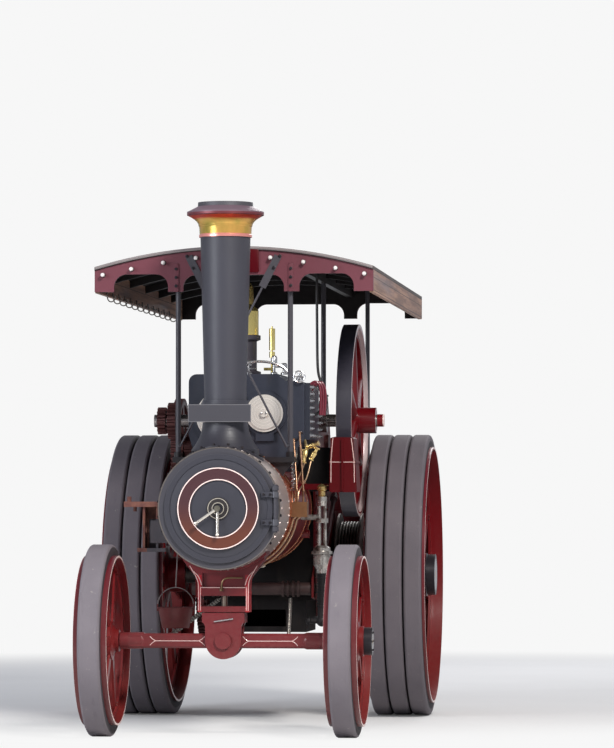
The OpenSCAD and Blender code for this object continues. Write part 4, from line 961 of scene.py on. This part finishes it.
# %% Chains
LINKS = 50
chain_mat = metal("chain_steel", (150, 146, 140), 0.3, (70, 52, 44), spots=0.5)
for s, side in ((1, "left"), (-1, "right")):
    p = Vector((s * 0.25, at(1.786), 0.8795))
    q = Vector((s * 0.42, at(0.0684), 0.64))
    link = start("link", "torus", major_segments=12, minor_segments=6, major_radius=0.0125,
                 minor_radius=0.0048)
    pick(link, lambda c, n: c.x > 0.001, "VERT")
    bpy.ops.transform.translate(value=(0.019, 0, 0))
    bpy.ops.mesh.select_all(action="SELECT")
    bpy.ops.transform.translate(value=(-0.0095, 0, 0))
    step = (q - p) * (1 / LINKS)
    turn = step.to_track_quat("X", "Z").to_matrix().to_4x4()
    matrices = []
    for i in range(LINKS):
        quarter = Matrix.Rotation(radians(45 + 90 * (i % 2)), 4, "X")
        shrink = 0.985 if 0 < i < LINKS - 1 else 0.9
        matrices.append(Matrix.Translation(p + step * (i + 0.5)) @ turn @ quarter @ Matrix.Scale(shrink, 4))
    chain = finish(stamp(link, matrices, "steering_links_" + side), chain_mat, None)
    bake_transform(chain)
    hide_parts("steering_chain_" + side)
print("two chains of", LINKS, "links")

# %% [markdown]
# ## Wheels
# Each flat spoke is riveted to the rings inside the rim, and each hub cap is
# held by a ring of bolts. They turn with the wheel, so each set rides on its
# own wheel. The front hub has six nuts on its end, the rear one nine between
# the outer spokes.

# %% Spoke rivets and hub bolts
# (axle, centre of the width, spokes, radius of the rivets, how far they stand out, their size) and
# (x, radius, number, first angle and size of the hub bolts)
WHEELS = {"front": (FRONT_AXLE, 0.823, 12, 0.528, 0.0582, 0.007, (0.989, 0.066, 6, 0, 0.0075)),
          "rear": (REAR_AXLE, 0.945, 18, 0.872, 0.1262, 0.009, (1.086, 0.183, 9, 20, 0.012))}
for side, s in (("left", 1), ("right", -1)):
    for end, ((y, z), centre, spokes, ring, proud, size, hub) in WHEELS.items():
        body = end + "_wheel_" + side
        rivets = []
        for i, a in enumerate(angles(spokes)):
            face = 1 if i % 2 == 0 else -1
            for r, out in ((ring, 0), (ring - 0.026, 0.0028)):
                for dt in (-0.016, 0.016):
                    u, v = r * cos(a) - dt * sin(a), r * sin(a) + dt * cos(a)
                    rivets.append(((s * (centre + face * (proud + out)), y + v, z - s * u), (s * face, 0, 0)))
        finish(repeat(rivet(size), rivets, end + "_spoke_rivets_" + side), red_gloss, body)
        x, radius, count, first, size = hub
        bolts = [((s * x, y + radius * cos(a), z + radius * sin(a)), (s, 0, 0))
                 for a in angles(count, radians(first))]
        finish(repeat(bolt(size, 0.8 * size), bolts, end + "_hub_bolts_" + side), dark_bolt, body)
print("wheel rivets and hub bolts placed")

# %% [markdown]
# ## Cylinder block
# Studs hold the chest cover on the engine's left side. The bright end cover
# has a cap with two bolts, and a ring of nuts holds each cover at the back.

# %% Studs, nuts and cover bolts
studs = [((0.4838, y, 2.02 + 0.0475 * i), (1, 0, 0)) for y in (0.868, 1.432) for i in range(8)]
studs += [((0.4838, 0.95 + 0.1 * i, z), (1, 0, 0)) for z in (2.02, 2.352) for i in range(5)]
finish(repeat(bolt(0.0115, 0.03), studs, "chest_studs"), steel)
cap = [((0.181 + dx, 0.7062, 2.17), (0, -1, 0)) for dx in (-0.015, 0.015)]
cap += [((0.072, 0.7542, 2.158 + 0.026 * i), (0, -1, 0)) for i in range(2)]
finish(repeat(bolt(0.0065, 0.011), cap, "cover_bolts"), steel)
rear = [((x + r * cos(a), 1.5462, z + r * sin(a)), (0, 1, 0))
        for (x, z), r in zip(COVERS, (0.112, 0.15)) for a in angles(12)]
finish(repeat(bolt(0.0105, 0.018), rear, "rear_cover_nuts"), steel)
print("studs and nuts", len(studs) + len(cap) + len(rear))

# %% [markdown]
# ## Copper pipework
# Two copper pipes hug the boiler on their way down, four thin ones come from
# the block to the lubricator box, and a steel one is coiled so that it can
# give as the boiler warms.

# %% Copper pipework
pipes, unions = [], []
for k in range(2):
    r, y, end = 0.4075 + 0.021 * k, 0.52 + 0.042 * k, radians(-62)
    arc = [(r * cos(a), y, BOILER_Z + r * sin(a)) for a in (radians(-9 - 4.4 * i) for i in range(13))]
    pipes.append(tube("hugging_pipe", [(0.44 + 0.018 * k, y, 1.475)] + arc, 0.0078, 12))
    unions.append(((0.413 * cos(end) + 0.01 * k, y, BOILER_Z + r * sin(end)), (-0.86, 0, -0.5)))
for x, path in (
        (0.396, [(0.394, 0.57, 1.6), (0.388, 0.6, 1.64), (0.374, 0.65, 1.67), (0.362, 0.72, 1.7)]),
        (0.414, [(0.412, 0.57, 1.62), (0.408, 0.6, 1.67), (0.396, 0.66, 1.71), (0.384, 0.735, 1.75)]),
        (0.43, [(0.432, 0.57, 1.62), (0.444, 0.6, 1.66), (0.484, 0.67, 1.72), (0.502, 0.735, 1.84)]),
        (0.422, [(0.418, 0.58, 1.66), (0.424, 0.62, 1.72), (0.444, 0.68, 1.77), (0.462, 0.735, 1.84)])):
    pipes.append(tube("drop_pipe", [(x, 0.56, 1.56)] + path, 0.0048, 12))
finish(merge(pipes, "copper_pipework"), copper)
finish(repeat(bolt(0.015, 0.034), unions, "pipe_unions"), metal("bright_union", (232, 224, 208), 0.16))
coil = []
for i in range(97):  # eight turns of twelve points
    a = tau * i / 12
    coil.append((0.392 + 0.019 * cos(a), 0.64 + 0.019 * sin(a), 1.64 + 0.225 * i / 96))
path = [(0.392, 0.6, 1.565), (0.411, 0.62, 1.6)] + coil + [(0.411, 0.68, 1.9), (0.4, 0.775, 1.93)]
finish(tube("coiled_pipe", path, 0.0058, 8), steel)
print("copper pipes", len(pipes))

# %% [markdown]
# ## Brass valves and the drain's hand wheel
# Three small brass valves stand in front of the block, and a steel hand wheel
# above them opens the drain. Valves are turned parts, so they are spun.

# %% Valves and hand wheel
profile = [(0, 0), (0.02, 0), (0.02, 0.008), (0.013, 0.012), (0.018, 0.032), (0.018, 0.055), (0.011, 0.062),
           (0.011, 0.085), (0.019, 0.088), (0.019, 0.096), (0, 0.096)]
valves = [lathe("valve_body", profile, (0.452, 0.742, 1.828)),
          lathe("valve_body", profile, (0.5, 0.742, 1.852), (0.5, 0, 0.86)),
          lathe("valve_body", profile, (0.47, 0.742, 1.935), (0.9, -0.2, 0.3))]
path = [(0.452, 0.742, 1.84), (0.476, 0.742, 1.9), (0.47, 0.742, 1.95), (0.455, 0.79, 1.985)]
valves.append(tube("valve_pipe", path, 0.009, 12))
valves.append(tube("valve_handle", [(0.5, 0.735, 1.94), (0.548, 0.735, 1.925)], 0.005, 8, False))
finish(merge(valves, "brass_valves"), brass)
HAND_X, HAND_Y, HAND_Z = 0.42, 0.752, 2.42
wheel = [start("hand_rim", "torus", major_segments=24, minor_segments=8, major_radius=0.038,
               minor_radius=0.0055, location=(HAND_X, at(HAND_Y), HAND_Z), rotation=(radians(90), 0, 0))]
for a in (0, 60, 120):
    dx, dz = 0.036 * cos(radians(a)), 0.036 * sin(radians(a))
    path = [(HAND_X + k * dx, HAND_Y, HAND_Z + k * dz) for k in (-1, 1)]
    wheel.append(tube("spoke", path, 0.0035, 8, False))
wheel.append(tube("stem", [(HAND_X, 0.745, HAND_Z), (HAND_X, 0.8, HAND_Z)], 0.008, 12, False))
profile = [(0, 0), (0.026, 0), (0.026, 0.02), (0.015, 0.026), (0.015, 0.05), (0, 0.05)]
wheel.append(lathe("stem_seat", profile, (HAND_X, 0.8, 2.395)))
finish(merge(wheel, "drain_handwheel"), steel)
print("valves and hand wheel made")

# %% [markdown]
# ## Lubricators and pipes on the block
# Three oil cups and a bent pipe stand on top of the cylinders. Three red
# pipes bend over their left side, and one black pipe climbs from the block
# to the roof. A thin near-black plate, finished like the firebox, closes the
# side of the firebox as a painted shade for the dark seen through the opening.

# %% Lubricators, pipes and shade plate
tops = []
for x, y, tall in ((0.06, 0.84, 0.1), (0.235, 0.86, 0.13), (0.3, 0.9, 0.08)):
    profile = [(0, 0), (0.024, 0), (0.024, 0.012), (0.01, 0.02), (0.01, tall * 0.5), (0.022, tall * 0.6),
               (0.022, tall * 0.9), (0.014, tall), (0, tall)]
    tops.append(lathe("top_cup", profile, (x, y, 2.438)))
    z = 2.438 + tall * 0.4
    tops.append(tube("top_arm", [(x, y, z), (x + 0.05, y - 0.01, z)], 0.006, 8, False))
path = [(0.02, 0.8, 2.442), (0.02, 0.8, 2.5), (0.1, 0.8, 2.53), (0.24, 0.8, 2.52), (0.34, 0.81, 2.47),
        (0.36, 0.81, 2.4)]
tops.append(tube("top_pipe", path, 0.009, 12))
finish(merge(tops, "cylinder_lubricators"), steel)
bends = []
for k in range(3):
    y, out = 0.9 + 0.05 * k, 0.012 * k
    path = [(0.478, y, 2.37 - 0.02 * k), (0.512 + out, y, 2.4), (0.546 + out, y, 2.37),
            (0.556 + out, y, 2.28), (0.548 + 0.01 * k, y, 2.16)]
    bends.append(tube("exhaust_bend", path, 0.0085, 12))
finish(merge(bends, "red_pipe_bends"), plain_paint("pipe_pink", (110, 38, 52), 0.3, 0))
path = [(0.485, 2.16), (0.545, 2.2), (0.572, 2.27), (0.56, 2.34), (0.52, 2.42), (0.508, 2.5), (0.506, 2.75),
        (0.504, 3), (0.505, 3.19)]
finish(tube("governor_pipe", [(x, 1.12, z) for x, z in path], 0.0095, 12), black)
# painted shade: a near-black plate fills the opening beside the firebox, for the dark seen through it
shade_plate = start("gap_shade_plate", "cube", size=1, location=(0.4285, at(1.856), 1.795), scale=(0.277, 0.008, 0.31))
pick(shade_plate, lambda c, d: abs(d.y) > 0.9, "EDGE")
bpy.ops.mesh.bevel(offset=0.05, segments=4)
pick(shade_plate, lambda c, n: n.y < -0.9)
bpy.ops.mesh.inset(thickness=0.012, depth=0.004)
finish(shade_plate, finish_of("firebox"))
print("pipes on the block", len(tops) + len(bends))

# %% [markdown]
# ## Bulbs along the canopy
# Eight small clear bulbs stand in black holders on the front board. One bulb
# is turned from a profile that runs from its collar round to its tip, and is
# copied to the places that the plain solids mark.

# %% Bulbs
bulb_places = [((s * x, 0.48, z), (0, -1, 0)) for s in (-1, 1)
               for x, z in ((0.254, 3.219), (0.478, 3.188), (0.697, 3.146), (0.893, 3.107))]
profile = [(0, 0.0005), (0.016, 0.0005), (0.016, 0.006), (0.011, 0.009), (0.011, 0.016), (0, 0.016)]
holder = lathe("holder", profile)
finish(repeat(holder, bulb_places, "bulb_holders"), black)
glass = lathe("glass", [(0, 0.0165), (0.0085, 0.0165), (0.0135, 0.024), (0.0148, 0.032), (0.013, 0.04),
                        (0.008, 0.046), (0, 0.048)])
bulbs = finish(repeat(glass, bulb_places, "bulbs"), finish_of("lamps"))
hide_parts("lamps")
print("bulbs", len(bulb_places))

# %% [markdown]
# ## Edges of the red box
# The box beside the firebox has pale edges: the two upright rods are painted
# highlights along its lit front edges, and the cross rod is a pale line where
# the box widens. They are thin rods like the lining, because the same helper
# keeps them straight and sunk in the paint.

# %% Box edge highlights
BOX_Y = 1.1694
# painted highlights: the two upright rods are the lit front edges of the box
lit_box_edges = [stroke([(0.61, 2.006), (0.5975, 1.855), (0.5965, 1.7)], BOX_Y, 0.0032),
          stroke([(0.738, 2.006), (0.7575, 1.855), (0.76, 1.7)], BOX_Y, 0.0032),
          stroke([(0.59, 1.84), (0.766, 1.84)], BOX_Y, 0.003)]
finish(merge(lit_box_edges, "box_edge_highlights"), ivory_mat)
print("box edges", len(lit_box_edges))

# %% [markdown]
# ## Canopy fittings
# The posts end in flat plates bolted through the fascia, each stay has two
# bolts in its strap, and a dozen hooks hang inside the right-hand board. A
# red pad is fixed to the fascia, and a pale rolled edge closes the roof sheet
# at the front.

# %% Post plates, strap bolts, hooks and pad
plates = []
for s in (-1, 1):
    plate = start("post_plate", "cube", size=1, location=(s * 0.392, at(0.475), 3.085),
                  scale=(0.034, 0.008, 0.19))
    pick(plate, lambda c, n: abs(n.z) > 0.9)
    bpy.ops.mesh.inset(thickness=0.003)
    pick(plate, lambda c, d: abs(d.y) > 0.9, "EDGE")
    bpy.ops.mesh.bevel(offset=0.012, segments=3)
    clear()
    plates.append(plate)
finish(merge(plates, "post_plates"), finish_of("canopy_frame"))
spots = [((s * 0.392, 0.4712, z), (0, -1, 0)) for s in (-1, 1) for z in (3.03, 3.088, 3.146)]
spots += [((s * x, 0.4708, z), (0, -1, 0)) for s in (-1, 1) for x, z in ((0.318, 3.231), (0.276, 3.151))]
finish(repeat(bolt(0.01, 0.014), spots, "canopy_bolts"), dark_bolt)
pad = start("fascia_pad", "cube", size=1, location=(0.128, at(0.474), 3.2), scale=(0.092, 0.012, 0.16))
pick(pad, lambda c, n: n.y < -0.9)
bpy.ops.mesh.inset(thickness=0.008, depth=0.003)
pick(pad, lambda c, d: abs(d.y) > 0.9, "EDGE")
bpy.ops.mesh.bevel(offset=0.008, segments=2)
finish(pad, plain_paint("pad_red", (72, 2, 12), 0.34, 0, coat=0, spec=0.1))
HOOK = ((-0.918, 3.02), (-0.915, 2.975), (-0.905, 2.945), (-0.88, 2.938), (-0.858, 2.955), (-0.852, 2.985))
hooks = [tube("hook", [(x, 0.8 + 0.29 * i, z) for x, z in HOOK], 0.0045) for i in range(12)]
finish(merge(hooks, "canopy_hooks"), dull)
path = [(x, 0.4725, ROOF_TOP - 0.0105 - ROOF_R + sqrt(ROOF_R ** 2 - x * x))
        for x in (0.0948 * i - 0.948 for i in range(21))]
finish(tube("roof_edge_front", path, 0.0098), plain_paint("edge_pale", (128, 120, 120), 0.6, 0))
print("canopy fittings made,", len(hooks), "hooks")

# %% [markdown]
# ## Rivets on the tender and side plates
# The tender's plates and the tall side plates are joined by rows of rivets
# along their edges. They lie on the sheets, so only low domes are needed.

# %% Rivet rows
PITCH = 0.056
rows = []
for s in (-1, 1):
    rows += [((s * 0.6038, 3.775 + PITCH * i, z), (s, 0, 0)) for z in (0.735, 1.2, 1.815) for i in range(15)]
    rows += [((s * 0.6038, y, 0.79 + PITCH * i), (s, 0, 0)) for y in (3.765, 4.565) for i in range(19)]
    for y, d in ((4.5998, 1), (3.7402, -1)):
        rows += [((s * 0.555, y, 0.8 + PITCH * i), (0, d, 0)) for i in range(18)]
rows += [((-0.54 + 0.06 * i, 4.5998, z), (0, 1, 0)) for i in range(19) for z in (0.8, 1.815)]
finish(repeat(rivet(0.0075), rows, "tender_rivets"), finish_of("tender"))
spots = []
for y, z, dy, dz, n in ((1.905, 1.18, 0, 0.085, 12), (2.66, 1.00, 0, 0.085, 11), (1.99, 0.915, 0.095, 0, 7),
                        (1.99, 1, 0.095, 0, 7), (2.42, 2.29, 0.075, 0, 4)):
    spots += [((s * 0.4198, y + dy * i, z + dz * i), (s, 0, 0)) for s in (-1, 1) for i in range(n)]
finish(repeat(bolt(0.012, 0.012), spots, "side_plate_bolts"), finish_of("hornplates"))
upper = [(p, d) for p, d in ring_of(48, 0.3958, 1.935) if p[2] > 1.62]
finish(repeat(rivet(0.008), upper, "firebox_rivets"), finish_of("firebox"))
print("rivet rows placed,", len(rows) + len(spots) + len(upper), "heads")
